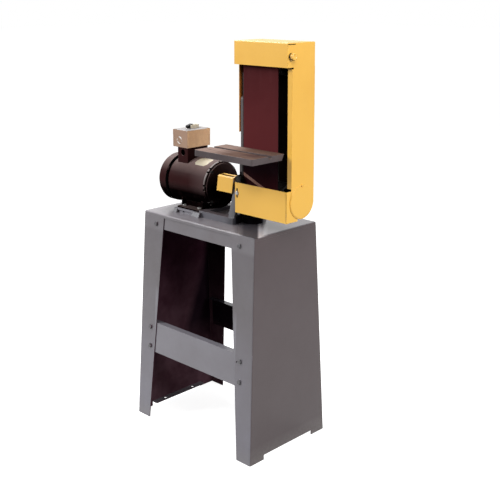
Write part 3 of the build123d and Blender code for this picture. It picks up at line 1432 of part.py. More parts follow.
bracket_back = hood_inner_front + bracket_thickness
with BuildPart(home) as lower_cover_bracket:
    block((upright_right, upright_right + bracket_width), (hood_inner_front, bracket_back),
          (lower_bottom + cover_sheet, shaft_z + bracket_top_rise))
    block((upright_right, upright_right + bracket_thickness), (hood_inner_front, bracket_leg_back),
          (shaft_z + bracket_bottom_rise, shaft_z + bracket_leg_top_rise))
    start = (lower_bolt_x, hood_inner_front, shaft_z + lower_bolt_rise)
    bar("y", lower_bolt_radius + seat_fit, start, bracket_thickness, Mode.SUBTRACT)
    for rise in bracket_screw_rise:
        place = (upright_right, bracket_screw_y, shaft_z + rise)
        bar("x", arm_hole, place, bracket_thickness, Mode.SUBTRACT)

front_bolt = hex_bolt(lower_bolt_radius, lower_bolt_length, lower_bolt_flats, lower_bolt_head)
with BuildPart(home) as lower_cover_bolt:
    with Locations(facing((lower_bolt_x, hood_front, shaft_z + lower_bolt_rise), (0, -1, 0))):
        add(front_bolt)

upright_screw = round_screw(arm_screw_radius, arm_screw_length, arm_screw_head_radius, arm_screw_head)
with BuildPart(home) as upright_screws:
    guard_face = upright_left - guard_sheet
    with Locations(*[facing((guard_face, y, shaft_z + guard_screw_rise), (-1, 0, 0)) for y in guard_screw_y]):
        add(upright_screw)
    bracket_face = upright_right + bracket_thickness
    bracket_spots = [(bracket_face, bracket_screw_y, shaft_z + rise) for rise in bracket_screw_rise]
    with Locations(*[facing(spot, (1, 0, 0)) for spot in bracket_spots]):
        add(upright_screw)

# Table
lug_gap = slide_fit
left_lug = (arm_left - lug_gap - table_lug_width, arm_left - lug_gap)
right_lug = (arm_right + lug_gap, arm_right + lug_gap + table_lug_width)
with BuildPart(home) as work_table:
    outline = [
        (table_front, table_bottom),
        (table_front, table_top),
        (table_back, table_top),
        (table_back - table_undercut, table_bottom),
    ]
    prism_x(outline, table_left, table_right)
    fillet(work_table.edges().filter_by(Axis.Z), 3 * table_edge)
    chamfer(work_table.faces().sort_by(Axis.Z)[-1].edges(), table_edge / 4)
    half = mitre_slot_width / 2
    block((table_left - overrun, table_right + overrun), (mitre_slot_y - half, mitre_slot_y + half),
          (table_top - mitre_slot_depth, table_top + overrun), Mode.SUBTRACT)
    for left, right in (left_lug, right_lug):
        bar("x", table_lug_radius, (left, pivot_y, pivot_z), right - left)
        lug_y = (pivot_y - table_lug_radius, pivot_y + table_lug_radius / 2)
        block((left, right), lug_y, (pivot_z, table_bottom))
    lug_span = right_lug[1] - left_lug[0]
    bar("x", pivot_radius + seat_fit, (left_lug[0], pivot_y, pivot_z), lug_span, Mode.SUBTRACT)

pivot_bolt = hex_bolt(pivot_radius, lug_span + pivot_nut_height, pivot_flats, pivot_head)
pivot_nut = hex_nut(pivot_radius, pivot_flats, pivot_nut_height)
with BuildPart(home) as table_pivot_bolt:
    with Locations(facing((left_lug[0], pivot_y, pivot_z), (-1, 0, 0))):
        add(pivot_bolt)
    with Locations(facing((right_lug[1], pivot_y, pivot_z), (-1, 0, 0))):
        add(pivot_nut)

with BuildPart(home) as table_leg:
    leg_z = (shaft_z + leg_bottom_rise, pivot_z + leg_eye_radius)
    block((arm_left, arm_right), (leg_front, arm_front), leg_z)
    bar("x", leg_eye_radius, (arm_left, pivot_y, pivot_z), arm_thickness)
    block((arm_left, arm_right), (pivot_y, leg_front), (pivot_z - leg_eye_radius, pivot_z + leg_eye_radius))
    bar("x", pivot_radius + running_fit, (arm_left, pivot_y, pivot_z), arm_thickness, Mode.SUBTRACT)
    half = knob_stud_radius + hole_play
    block((arm_mid - half, arm_mid + half), (leg_front, arm_front), (knob_z - half, knob_z + leg_slot_height),
          Mode.SUBTRACT)

with BuildPart(home) as table_knob:
    with BuildSketch(front_plane(leg_front - knob_gap)) as lobes:
        with Locations((arm_mid, knob_z)):
            Circle(knob_core_radius)
            with PolarLocations(knob_lobe_circle, knob_lobe_count, 90):
                Circle(knob_lobe_radius)
    extrude(lobes.sketch, knob_length)
    fillet(table_knob.faces().sort_by(Axis.Y)[0].edges(), knob_edge)
    bar("y", knob_stud_radius, (arm_mid, leg_front - knob_gap, knob_z), knob_stud_length + leg_thickness)

# Every piece to its own file
stand_top.part.label = "stand_top"
export_step(stand_top.part, "parts/stand_top.step")
left_end_panel.part.label = "left_end_panel"
export_step(left_end_panel.part, "parts/left_end_panel.step")
right_end_panel.part.label = "right_end_panel"
export_step(right_end_panel.part, "parts/right_end_panel.step")
front_stretcher.part.label = "front_stretcher"
export_step(front_stretcher.part, "parts/front_stretcher.step")
rear_stretcher.part.label = "rear_stretcher"
export_step(rear_stretcher.part, "parts/rear_stretcher.step")
stand_bolts.part.label = "stand_bolts"
export_step(stand_bolts.part, "parts/stand_bolts.step")
base_casting.part.label = "base_casting"
export_step(base_casting.part, "parts/base_casting.step")
base_bolts.part.label = "base_bolts"
export_step(base_bolts.part, "parts/base_bolts.step")
motor_feet.part.label = "motor_feet"
export_step(motor_feet.part, "parts/motor_feet.step")
motor_mount_bolts.part.label = "motor_mount_bolts"
export_step(motor_mount_bolts.part, "parts/motor_mount_bolts.step")
motor_shell.part.label = "motor_shell"
export_step(motor_shell.part, "parts/motor_shell.step")
motor_front_bell.part.label = "motor_front_bell"
export_step(motor_front_bell.part, "parts/motor_front_bell.step")
motor_rear_bell.part.label = "motor_rear_bell"
export_step(motor_rear_bell.part, "parts/motor_rear_bell.step")
fan_cover.part.label = "fan_cover"
export_step(fan_cover.part, "parts/fan_cover.step")
stator_core.part.label = "stator_core"
export_step(stator_core.part, "parts/stator_core.step")
stator_windings.part.label = "stator_windings"
export_step(stator_windings.part, "parts/stator_windings.step")
rotor.part.label = "rotor"
export_step(rotor.part, "parts/rotor.step")
cooling_fan.part.label = "cooling_fan"
export_step(cooling_fan.part, "parts/cooling_fan.step")
shaft_bearings.part.label = "shaft_bearings"
export_step(shaft_bearings.part, "parts/shaft_bearings.step")
through_bolts.part.label = "through_bolts"
export_step(through_bolts.part, "parts/through_bolts.step")
rating_plate.part.label = "rating_plate"
export_step(rating_plate.part, "parts/rating_plate.step")
conduit_box.part.label = "conduit_box"
export_step(conduit_box.part, "parts/conduit_box.step")
switch_box.part.label = "switch_box"
export_step(switch_box.part, "parts/switch_box.step")
switch_lid.part.label = "switch_lid"
export_step(switch_lid.part, "parts/switch_lid.step")
lid_screws.part.label = "lid_screws"
export_step(lid_screws.part, "parts/lid_screws.step")
switch_bezel.part.label = "switch_bezel"
export_step(switch_bezel.part, "parts/switch_bezel.step")
toggle_lever.part.label = "toggle_lever"
export_step(toggle_lever.part, "parts/toggle_lever.step")
motor_coupling_hub.part.label = "motor_coupling_hub"
export_step(motor_coupling_hub.part, "parts/motor_coupling_hub.step")
coupling_spider.part.label = "coupling_spider"
export_step(coupling_spider.part, "parts/coupling_spider.step")
arbor_coupling_hub.part.label = "arbor_coupling_hub"
export_step(arbor_coupling_hub.part, "parts/arbor_coupling_hub.step")
arbor_shaft.part.label = "arbor_shaft"
export_step(arbor_shaft.part, "parts/arbor_shaft.step")
drive_drum.part.label = "drive_drum"
export_step(drive_drum.part, "parts/drive_drum.step")
drum_lagging.part.label = "drum_lagging"
export_step(drum_lagging.part, "parts/drum_lagging.step")
drum_nut.part.label = "drum_nut"
export_step(drum_nut.part, "parts/drum_nut.step")
coupling_guard.part.label = "coupling_guard"
export_step(coupling_guard.part, "parts/coupling_guard.step")
upright_screws.part.label = "upright_screws"
export_step(upright_screws.part, "parts/upright_screws.step")
tilt_arm.part.label = "tilt_arm"
export_step(tilt_arm.part, "parts/tilt_arm.step")
tilt_clamp_bolt.part.label = "tilt_clamp_bolt"
export_step(tilt_clamp_bolt.part, "parts/tilt_clamp_bolt.step")
platen.part.label = "platen"
export_step(platen.part, "parts/platen.step")
slide_keepers.part.label = "slide_keepers"
export_step(slide_keepers.part, "parts/slide_keepers.step")
arm_screws.part.label = "arm_screws"
export_step(arm_screws.part, "parts/arm_screws.step")
tension_slide.part.label = "tension_slide"
export_step(tension_slide.part, "parts/tension_slide.step")
tension_spring.part.label = "tension_spring"
export_step(tension_spring.part, "parts/tension_spring.step")
idler_axle.part.label = "idler_axle"
export_step(idler_axle.part, "parts/idler_axle.step")
idler_bearings.part.label = "idler_bearings"
export_step(idler_bearings.part, "parts/idler_bearings.step")
idler_drum.part.label = "idler_drum"
export_step(idler_drum.part, "parts/idler_drum.step")
tracking_knob.part.label = "tracking_knob"
export_step(tracking_knob.part, "parts/tracking_knob.step")
abrasive_belt.part.label = "abrasive_belt"
export_step(abrasive_belt.part, "parts/abrasive_belt.step")
rear_cover.part.label = "rear_cover"
export_step(rear_cover.part, "parts/rear_cover.step")
cover_straps.part.label = "cover_straps"
export_step(cover_straps.part, "parts/cover_straps.step")
belt_cover.part.label = "belt_cover"
export_step(belt_cover.part, "parts/belt_cover.step")
cover_knob.part.label = "cover_knob"
export_step(cover_knob.part, "parts/cover_knob.step")
cover_screw.part.label = "cover_screw"
export_step(cover_screw.part, "parts/cover_screw.step")
lower_cover.part.label = "lower_cover"
export_step(lower_cover.part, "parts/lower_cover.step")
lower_cover_bracket.part.label = "lower_cover_bracket"
export_step(lower_cover_bracket.part, "parts/lower_cover_bracket.step")
lower_cover_bolt.part.label = "lower_cover_bolt"
export_step(lower_cover_bolt.part, "parts/lower_cover_bolt.step")
work_table.part.label = "work_table"
export_step(work_table.part, "parts/work_table.step")
table_pivot_bolt.part.label = "table_pivot_bolt"
export_step(table_pivot_bolt.part, "parts/table_pivot_bolt.step")
table_leg.part.label = "table_leg"
export_step(table_leg.part, "parts/table_leg.step")
table_knob.part.label = "table_knob"
export_step(table_knob.part, "parts/table_knob.step")
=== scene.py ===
"""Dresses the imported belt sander: finishes, small detail, studio, light and camera."""

import json
import logging
import math
from dataclasses import dataclass
from enum import Enum
from functools import reduce

import bmesh
import bpy
from mathutils import Matrix, Vector


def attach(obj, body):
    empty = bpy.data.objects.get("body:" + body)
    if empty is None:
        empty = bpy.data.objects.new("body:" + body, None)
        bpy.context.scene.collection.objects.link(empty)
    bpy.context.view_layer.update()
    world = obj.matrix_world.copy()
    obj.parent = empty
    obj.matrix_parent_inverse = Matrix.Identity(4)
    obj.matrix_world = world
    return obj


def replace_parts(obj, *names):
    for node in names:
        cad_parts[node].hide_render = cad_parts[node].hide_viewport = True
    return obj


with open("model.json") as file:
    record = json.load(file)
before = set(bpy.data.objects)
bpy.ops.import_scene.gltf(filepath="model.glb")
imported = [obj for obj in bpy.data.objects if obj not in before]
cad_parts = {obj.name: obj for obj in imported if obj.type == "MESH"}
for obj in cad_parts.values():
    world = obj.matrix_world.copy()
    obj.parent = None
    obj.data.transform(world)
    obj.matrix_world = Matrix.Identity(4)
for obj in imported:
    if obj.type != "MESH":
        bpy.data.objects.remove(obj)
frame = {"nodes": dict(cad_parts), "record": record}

LOG = logging.getLogger("scene")
MM = 0.001
# The stand's middle on the floor
HOME = Vector((-33.55, 7.0, 0.0)) * MM
# Heights of the drum axes in millimetres
SHAFT_Z = 860.0
IDLER_Z = 1309.065
# Corners closer than this are joined, in metres
MERGE = 0.000002
EDGE_WIDTH = 0.0011
# Cosine between the flat and the rounded normal, off an edge and on it
EDGE_TURN = (0.985, 0.85)
COAT_ROUGH = 0.14
DULL_ROUGH = 0.8
NOISE_ROUGH = 0.6
BUMP_STRENGTH = 0.6
SPECK_TONE = 0.62
# Stretch of the fine structure along each axis
BRUSHED = (0.12, 1.0, 1.0)
EVEN = (1.0, 1.0, 1.0)
# A grip's side faces: greatest lean, least share of its radius, and a flute's border as a share of its depth
SIDE_LEAN = 0.2
RIM_SHARE = 0.97
FLUTE_BORDER = 0.4
# Edges that rise more than this share of their length stand upright
UPRIGHT = 0.9
Colour = tuple[float, float, float]
Point = tuple[float, float, float]
Fade = tuple[float, float]
Socket = bpy.types.NodeSocket
Axes = tuple[Socket, Socket, Socket]
# Fades over one part of a face's normal
FACING = (0.6, 0.9)
FACING_AWAY = (-0.6, -0.9)
TURNED = (0.5, 0.8)
TURNED_AWAY = (-0.5, -0.8)
# Places and slopes that the finishes follow, in metres, the knockout's place in millimetres
STAND_HALF_DEPTH = 0.186
STAND_LEAN = 0.04768
# Slant of the painted shadow and painted light that cross the stand's top
TOP_SLANT = 0.95
# Lean of the painted shade at the back of the stand's bay
BAY_SHADE_LEAN = 0.35
# Radii of the bell's notches, which get painted shade
BELL_RADII = (0.0818, 0.0772)
KNOCKOUT = (-187.7, -55.0, 1005.0)
KNOCKOUT_RADIUS = 0.011
BELT_RADII = (0.0513, 0.0519)


def spot(x: float, y: float, z: float) -> Vector:
    """Place in metres of a point given in millimetres from the stand's middle on the floor."""
    return HOME + Vector((x, y, z)) * MM


class Surface(Enum):
    """Kinds of surface. Steel has its fine structure drawn out along X."""

    ENAMEL = "enamel"
    CAST = "cast"
    STEEL = "steel"
    PLASTIC = "plastic"
    RUBBER = "rubber"


@dataclass(frozen=True)
class Finish:
    """One finish of the machine.

    Attributes:
        colour: the main colour, linear.
        shade: the colour that it drifts to in patches, linear.
        surface: the kind of surface.
        rough: lowest and highest roughness.
        edge: colour of the edges where the paint wears through, linear.
        wear: how much of the edge colour shows, from 0 to 1.
        metallic: 1 for bare metal.
        gloss: the shader's specular level.
        coat: strength of a clear gloss over the colour.
        grain: how many grains of fine structure lie along a metre.
        relief: height of the fine structure in metres.
    """

    colour: Colour
    shade: Colour
    surface: Surface
    rough: tuple[float, float]
    edge: Colour = (0.3, 0.29, 0.28)
    wear: float = 0.0
    metallic: float = 0.0
    gloss: float = 0.5
    coat: float = 0.0
    grain: float = 900.0
    relief: float = 0.00004


FINISHES: dict[str, Finish] = {
    "stand_enamel": Finish(
        (0.172, 0.16, 0.178), (0.152, 0.135, 0.147), Surface.ENAMEL, (0.18, 0.27),
        edge=(0.24, 0.23, 0.26), wear=0.3, gloss=0.4, coat=0.2, grain=1100.0),
    "base_enamel": Finish(
        (0.27, 0.262, 0.295), (0.19, 0.182, 0.205), Surface.CAST, (0.28, 0.42),
        edge=(0.36, 0.35, 0.38), wear=0.7, grain=420.0, relief=0.00016),
    "yellow_enamel": Finish(
        (0.86, 0.485, 0.074), (0.82, 0.445, 0.063), Surface.ENAMEL, (0.3, 0.4),
        edge=(0.5, 0.22, 0.03), wear=0.55, gloss=0.45, coat=0.1, grain=1000.0),
    "motor_enamel": Finish(
        (0.03, 0.0068, 0.0072), (0.022, 0.0046, 0.005), Surface.ENAMEL, (0.36, 0.46),
        edge=(0.13, 0.09, 0.087), wear=0.55, gloss=0.035, grain=700.0, relief=0.00006),
    "box_enamel": Finish(
        (0.37, 0.232, 0.157), (0.31, 0.188, 0.13), Surface.ENAMEL, (0.34, 0.46),
        edge=(0.62, 0.48, 0.36), wear=0.4, gloss=0.4, grain=500.0, relief=0.00006),
    "lid_metal": Finish(
        (0.35, 0.335, 0.34), (0.28, 0.265, 0.265), Surface.STEEL, (0.28, 0.42),
        edge=(0.62, 0.62, 0.62), wear=0.6, metallic=0.35),
    "plate_blank": Finish(
        (0.68, 0.63, 0.5), (0.58, 0.52, 0.38), Surface.STEEL, (0.3, 0.42),
        edge=(0.75, 0.72, 0.66), wear=0.5, metallic=0.3, grain=500.0),
    "cream_plastic": Finish(
        (0.62, 0.56, 0.44), (0.55, 0.48, 0.36), Surface.PLASTIC, (0.32, 0.45),
        edge=(0.7, 0.65, 0.55), wear=0.4),
    "black_plastic": Finish(
        (0.005, 0.0045, 0.0045), (0.009, 0.008, 0.0078), Surface.PLASTIC, (0.3, 0.45),
        edge=(0.02, 0.019, 0.018), wear=0.4, gloss=0.1),
    "zinc_steel": Finish(
        (0.46, 0.45, 0.44), (0.33, 0.32, 0.31), Surface.STEEL, (0.28, 0.44),
        edge=(0.7, 0.69, 0.67), wear=0.6, metallic=0.9),
    "dark_steel": Finish(
        (0.03, 0.027, 0.027), (0.018, 0.016, 0.0155), Surface.STEEL, (0.4, 0.55),
        edge=(0.14, 0.13, 0.13), wear=0.5, metallic=0.7, gloss=0.2),
    "bright_steel": Finish(
        (0.50, 0.49, 0.48), (0.38, 0.37, 0.355), Surface.STEEL, (0.2, 0.36),
        edge=(0.7, 0.7, 0.69), wear=0.4, metallic=1.0),
    "bearing_steel": Finish(
        (0.66, 0.66, 0.66), (0.54, 0.54, 0.53), Surface.STEEL, (0.12, 0.22), metallic=1.0),
    "core_steel": Finish(
        (0.26, 0.26, 0.26), (0.18, 0.17, 0.16), Surface.STEEL, (0.4, 0.6), metallic=1.0, grain=1600.0),
    "copper_winding": Finish(
        (0.55, 0.22, 0.08), (0.38, 0.13, 0.05), Surface.STEEL, (0.28, 0.44),
        metallic=0.9, grain=700.0, relief=0.0003),
    # Near black as painted shade: the drums show only in the dark gaps beside the belt
    "drum_aluminium": Finish(
        (0.016, 0.0155, 0.0155), (0.024, 0.023, 0.0225), Surface.STEEL, (0.4, 0.55),
        edge=(0.05, 0.048, 0.047), wear=0.4, metallic=0.5, gloss=0.15),
    "black_rubber": Finish(
        (0.004, 0.0038, 0.0038), (0.007, 0.0066, 0.0064), Surface.RUBBER, (0.6, 0.8),
        gloss=0.04, grain=1400.0, relief=0.00008),
    "table_iron": Finish(
        (0.105, 0.084, 0.087), (0.072, 0.055, 0.057), Surface.CAST, (0.36, 0.5),
        edge=(0.36, 0.33, 0.32), wear=0.6, gloss=0.18, grain=420.0, relief=0.00014),
    "arm_iron": Finish(
        (0.1, 0.09, 0.094), (0.07, 0.06, 0.062), Surface.CAST, (0.4, 0.55),
        edge=(0.17, 0.16, 0.16), wear=0.5, gloss=0.25, grain=420.0, relief=0.00018),
    "abrasive": Finish(
        (0.086, 0.0165, 0.0185), (0.068, 0.0125, 0.0145), Surface.RUBBER, (0.7, 0.85), gloss=0.04),
}


class Coat:
    """One material's node tree, built up step by step."""

    def __init__(self, name: str) -> None:
        """Starts an empty material.

        Args:
            name: name of the material.
        """
        self.material = bpy.data.materials.new(name)
        self.material.use_nodes = True
        self.tree = self.material.node_tree
        self.shader = self.tree.nodes["Principled BSDF"]
        coordinates = self.add("ShaderNodeTexCoord")
        self.place = coordinates.outputs["Object"]
        self.normal = coordinates.outputs["Normal"]

    def add(self, kind: str, inputs: dict | None = None, **settings: object) -> bpy.types.Node:
        """Adds a node.

        Args:
            kind: Blender's name for the node type.
            inputs: socket name or number to a value or an output to link.
            settings: properties of the node.

        Returns:
            The new node.
        """
        node = self.tree.nodes.new(kind)
        for key, value in settings.items():
            setattr(node, key, value)
        for key, value in (inputs or {}).items():
            if isinstance(value, Socket):
                self.tree.links.new(value, node.inputs[key])
            else:
                node.inputs[key].default_value = value
        return node

    def link(self, output: Socket, socket: str) -> None:
        """Links an output to a socket of the shader."""
        self.tree.links.new(output, self.shader.inputs[socket])

    def axes(self, vector: Socket | None = None) -> Axes:
        """The three parts of a vector, the object's own place by default."""
        return tuple(self.add("ShaderNodeSeparateXYZ", {0: vector or self.place}).outputs)

    def noise(self, scale: float, detail: float, place: Socket | None = None) -> Socket:
        """Noise near 0.5, with grains to the metre and finer layers, in the object's own space by default."""
        inputs = {"Vector": place or self.place, "Scale": scale, "Detail": detail, "Roughness": NOISE_ROUGH}
        return self.add("ShaderNodeTexNoise", inputs).outputs["Fac"]

    def stretched(self, scale: Point) -> Socket:
        """The object's own coordinates, scaled along each axis."""
        return self.add("ShaderNodeMapping", {"Vector": self.place, "Scale": scale}).outputs["Vector"]

    def span(self, value: Socket, low: float, high: float, to: Fade = (0.0, 1.0)) -> Socket:
        """Maps a number from the span between two others to another span and holds it there."""
        inputs = {"Value": value, "From Min": low, "From Max": high, "To Min": to[0], "To Max": to[1]}
        return self.add("ShaderNodeMapRange", inputs).outputs["Result"]

    def maths(self, operation: str, first: object, second: object = 0.0) -> Socket:
        """One step of arithmetic by Blender's name for it, on numbers or outputs."""
        return self.add("ShaderNodeMath", {0: first, 1: second}, operation=operation).outputs[0]

    def vector(self, operation: str, first: object, second: object, output: str = "Vector") -> Socket:
        """One step of arithmetic on vectors, with "Value" as output where the result is a number."""
        return self.add("ShaderNodeVectorMath", {0: first, 1: second}, operation=operation).outputs[output]

    def mix(self, share: Socket, first: object, second: object) -> Socket:
        """Mixes two colours or outputs by the share of the second."""
        pair = [value if isinstance(value, Socket) else (*value, 1.0) for value in (first, second)]
        return self.add("ShaderNodeMix", {0: share, 6: pair[0], 7: pair[1]}, data_type="RGBA").outputs[2]

    def both(self, *masks: Socket) -> Socket:
        """Where all of some masks are 1, as their product."""
        return reduce(lambda first, second: self.maths("MULTIPLY", first, second), masks)

    def either(self, *masks: Socket) -> Socket:
        """Where any of some masks is 1, as the greatest of them."""
        return reduce(lambda first, second: self.maths("MAXIMUM", first, second), masks)

    def less(self, first: object, second: object) -> Socket:
        """The first number less the second."""
        return self.maths("SUBTRACT", first, second)

    def size(self, value: Socket) -> Socket:
        """A number without its sign."""
        return self.maths("ABSOLUTE", value)

    def length(self, vector: Socket) -> Socket:
        """The length of a vector."""
        return self.vector("LENGTH", vector, (0.0, 0.0, 0.0), "Value")

    def offset(self, origin: Vector) -> Socket:
        """The object's own place, as seen from a point."""
        return self.vector("SUBTRACT", self.place, tuple(origin))

    def patches(self) -> Socket:
        """Wide soft patches."""
        return self.span(self.noise(7.0, 5.0), 0.36, 0.66)

    def layers(self, colour: Socket, *layers: tuple[Socket, object]) -> Socket:
        """Lays tones over a colour.

        Args:
            colour: the colour so far.
            layers: a mask and a colour or output each, the lowest first.

        Returns:
            The colour with the layers.
        """
        for mask, tone in layers:
            colour = self.mix(mask, colour, tone)
        return colour

    def edges(self) -> tuple[Socket, Socket]:
        """Finds the edges of the piece.

        Returns:
            A number that is 1 on an edge, and the normal rounded over the edges.
        """
        rounded = self.add("ShaderNodeBevel", {"Radius": EDGE_WIDTH}, samples=4).outputs["Normal"]
        flat = self.add("ShaderNodeNewGeometry").outputs["Normal"]
        return self.span(self.vector("DOT_PRODUCT", rounded, flat, "Value"), *EDGE_TURN), rounded

    def bump(self, height: Socket, relief: float, normal: Socket | None = None) -> None:
        """Raises the surface by a height.

        Args:
            height: the height as a number.
            relief: height in metres at 1.
            normal: the normal to start from, if it isn't the surface's own.
        """
        inputs = {"Height": height, "Distance": relief, "Strength": BUMP_STRENGTH}
        if normal is not None:
            inputs["Normal"] = normal
        self.link(self.add("ShaderNodeBump", inputs).outputs["Normal"], "Normal")


class Paint(Coat):
    """One slot's material, whose tones are laid over the colour so far."""

    def __init__(self, slot: str) -> None:
        """Starts with the colour of the slot's finish, its patches and specks.

        Args:
            slot: name of the slot.
        """
        super().__init__(slot)
        self.finish = FINISHES[slot]
        colour = self.mix(self.patches(), self.finish.colour, self.finish.shade)
        specks = self.span(self.noise(260.0, 4.0), 0.62, 0.76, (0.0, 0.35))
        self.colour = self.mix(specks, colour, tuple(value * SPECK_TONE for value in self.finish.colour))

    def lay(self, *layers: tuple[Socket, object]) -> None:
        """Lays tones over the colour, each with its mask, the lowest first."""
        self.colour = self.layers(self.colour, *layers)

    def close(self, dull: Socket | None) -> bpy.types.Material:
        """Adds edge wear, roughness and relief, and links the shader.

        Args:
            dull: 1 where the surface has lost its gloss, or none.

        Returns:
            The material.
        """
        finish, shader = self.finish, self.shader.inputs
        edge, rounded = self.edges()
        if finish.wear > 0:
            patchy = self.span(self.noise(120.0, 4.0), 0.4, 0.62, (0.15, finish.wear))
            self.lay((self.both(edge, patchy), finish.edge))
        self.link(self.colour, "Base Color")
        rough = self.span(self.noise(30.0, 6.0), 0.3, 0.7, finish.rough)
        shader["Metallic"].default_value = finish.metallic
        shader["Specular IOR Level"].default_value = finish.gloss
        if dull is not None:
            rough = self.either(rough, self.span(dull, 0.0, 1.0, (0.0, DULL_ROUGH)))
            self.link(self.span(dull, 0.0, 1.0, (finish.gloss, 0.0)), "Specular IOR Level")
        self.link(rough, "Roughness")
        if finish.coat > 0:
            shader["Coat Roughness"].default_value = COAT_ROUGH
            shader["Coat Weight"].default_value = finish.coat
            if dull is not None:
                self.link(self.span(dull, 0.0, 1.0, (finish.coat, 0.0)), "Coat Weight")
        stretch = BRUSHED if finish.surface is Surface.STEEL else EVEN
        self.bump(self.noise(finish.grain, 4.0, self.stretched(stretch)), finish.relief, rounded)
        return self.material

    def stand(self) -> Socket:
        """Grey outside with painted light and shade, dark primer inside darkened further by painted shade,
        dust near the floor, and painted shade at the back of the bay.

        Returns:
            Where the gloss is lost.
        """
        place = self.axes(self.offset(HOME))
        _, depth, height = place
        ends = self.span(self.size(self.axes(self.normal)[0]), *FACING)
        outward = self.vector("MULTIPLY", self.offset(HOME), (1.0, 1.0, 0.0))
        facing = self.vector("DOT_PRODUCT", outward, self.normal, "Value")
        inside = self.span(facing, -0.02, -0.06)
        sheet = self.less(STAND_HALF_DEPTH, self.maths("MULTIPLY", height, STAND_LEAN))
        self.stand_paint(place, ends)
        proud = self.span(self.less(self.size(depth), sheet), 0.0006, 0.0012)
        bolts = self.mix(self.noise(200.0, 4.0), (0.115, 0.11, 0.12), (0.05, 0.047, 0.054))
        self.lay((proud, bolts))
        under = self.stand_top(place)
        dust = self.both(self.span(height, 0.06, 0.0, (0.0, 0.5)), self.noise(90.0, 5.0))
        # Painted shade at the back of the stand's bay, slanting with height
        lean = self.less(depth, self.maths("MULTIPLY", height, BAY_SHADE_LEAN))
        painted_bay_shade = self.both(
            self.span(lean, -0.062, -0.022, (0.0, 0.85)),
            self.span(height, 0.15, 0.28),
            self.span(self.less(sheet, depth), 0.0035, 0.005),
            self.span(facing, 0.03, 0.0))
        self.lay(
            (dust, (0.3, 0.28, 0.26)),
            (inside, self.stand_primer_and_shade(height, ends)),
            (painted_bay_shade, (0.003, 0.002, 0.006)))
        return self.either(inside, under)

    def stand_paint(self, place: Axes, ends: Socket) -> None:
        """The stand's outside, with painted light and shade: darker below the top and darker and browner on
        the end panels as painted shade, paler towards the floor and on the stretchers as painted light.

        Args:
            place: the place from the stand's middle.
            ends: 1 on faces that look to the left or right.
        """
        along, _, height = place
        patches = self.patches()
        lit_rail = self.both(self.span(self.size(along), 0.205, 0.2), self.span(height, 0.5, 0.45))
        shade_below_top = self.span(height, 0.705, 0.69)
        low = self.span(height, 0.5, 0.1)
        # Painted shade below the top and on the end panels, painted light low down and on the stretchers
        for mask, tone, other in (
            (shade_below_top, (0.13, 0.116, 0.129), (0.114, 0.099, 0.108)),
            (low, (0.212, 0.202, 0.243), (0.186, 0.174, 0.205)),
            (lit_rail, (0.215, 0.205, 0.235), (0.19, 0.178, 0.203)),
            (ends, (0.07, 0.045, 0.049), (0.062, 0.038, 0.041)),
        ):
            self.lay((mask, self.mix(patches, tone, other)))

    def stand_top(self, place: Axes) -> Socket:
        """The stand's top: pale on the left as a painted reflection, dark beneath the lower cover as a
        painted shadow, and bright beside that as painted light.

        Args:
            place: the place from the stand's middle.

        Returns:
            Where the painted shadow lies.
        """
        along, depth, height = place
        top = self.span(height, 0.75, 0.754)
        pale = self.mix(self.patches(), (0.31, 0.29, 0.315), (0.25, 0.23, 0.252))
        across = self.maths("ADD", along, self.maths("MULTIPLY", depth, TOP_SLANT))
        # Painted reflection on the left, painted shadow beneath the lower cover, painted light beside it
        left = self.both(top, self.span(along, 0.1, -0.25, (0.1, 1.0)))
        under = self.both(top, self.span(across, 0.035, 0.08, (0.0, 0.8)), self.span(across, 0.144, 0.138))
        light = self.both(top, self.span(across, 0.142, 0.147), self.span(across, 0.19, 0.155))
        self.lay((left, pale), (under, (0.01, 0.009, 0.013)), (light, (0.5, 0.475, 0.5)))
        return under

    def stand_primer_and_shade(self, height: Socket, ends: Socket) -> Socket:
        """The stand's inside: dark primer, made near black by painted shade, and paler towards the floor as
        painted light.

        Args:
            height: height over the floor.
            ends: 1 on faces that look to the left or right.

        Returns:
            The colour.
        """
        blotches = self.span(self.noise(14.0, 5.0), 0.35, 0.65)
        # Primer darkened to near black as painted shade; the paler tone low down is painted light
        primer = self.mix(blotches, (0.012, 0.004, 0.0075), (0.024, 0.01, 0.015))
        panels = self.mix(blotches, (0.04, 0.012, 0.022), (0.062, 0.022, 0.036))
        painted_light_low = self.mix(blotches, (0.12, 0.052, 0.07), (0.19, 0.1, 0.125))
        return self.layers(primer, (ends, panels), (self.span(height, 0.55, 0.1), painted_light_low))

    def motor(self) -> Socket:
        """Brown enamel with painted light and shade: a painted sheen on the top and towards the right of the
        shell, a painted highlight on the bell's rim, and black, dull painted shade on the end that faces the
        coupling, underneath, on the feet and in the notches.

        Returns:
            Where the gloss is lost.
        """
        along, _, height = self.axes()
        end, _, up = self.axes(self.normal)
        # Painted sheen on the top and towards the right of the shell, painted highlight on the bell's rim
        sheen_breakup = self.span(self.noise(25.0, 5.0), 0.3, 0.7, (0.7, 1.0))
        flange = self.both(self.span(along, -0.0732, -0.0728), self.span(along, -0.0645, -0.065))
        rim_highlight = self.both(flange, self.span(end, 0.85, 0.6), self.span(up, -0.1, 0.5))
        painted_sheen = self.span(along, -0.15, -0.075, (0.0, 0.9))
        painted_top_sheen = self.both(self.span(up, 0.42, 0.88, (0.0, 0.95)), sheen_breakup)
        self.lay(
            (painted_sheen, (0.074, 0.043, 0.043)),
            (painted_top_sheen, (0.195, 0.142, 0.134)),
            (rim_highlight, (0.33, 0.29, 0.285)))
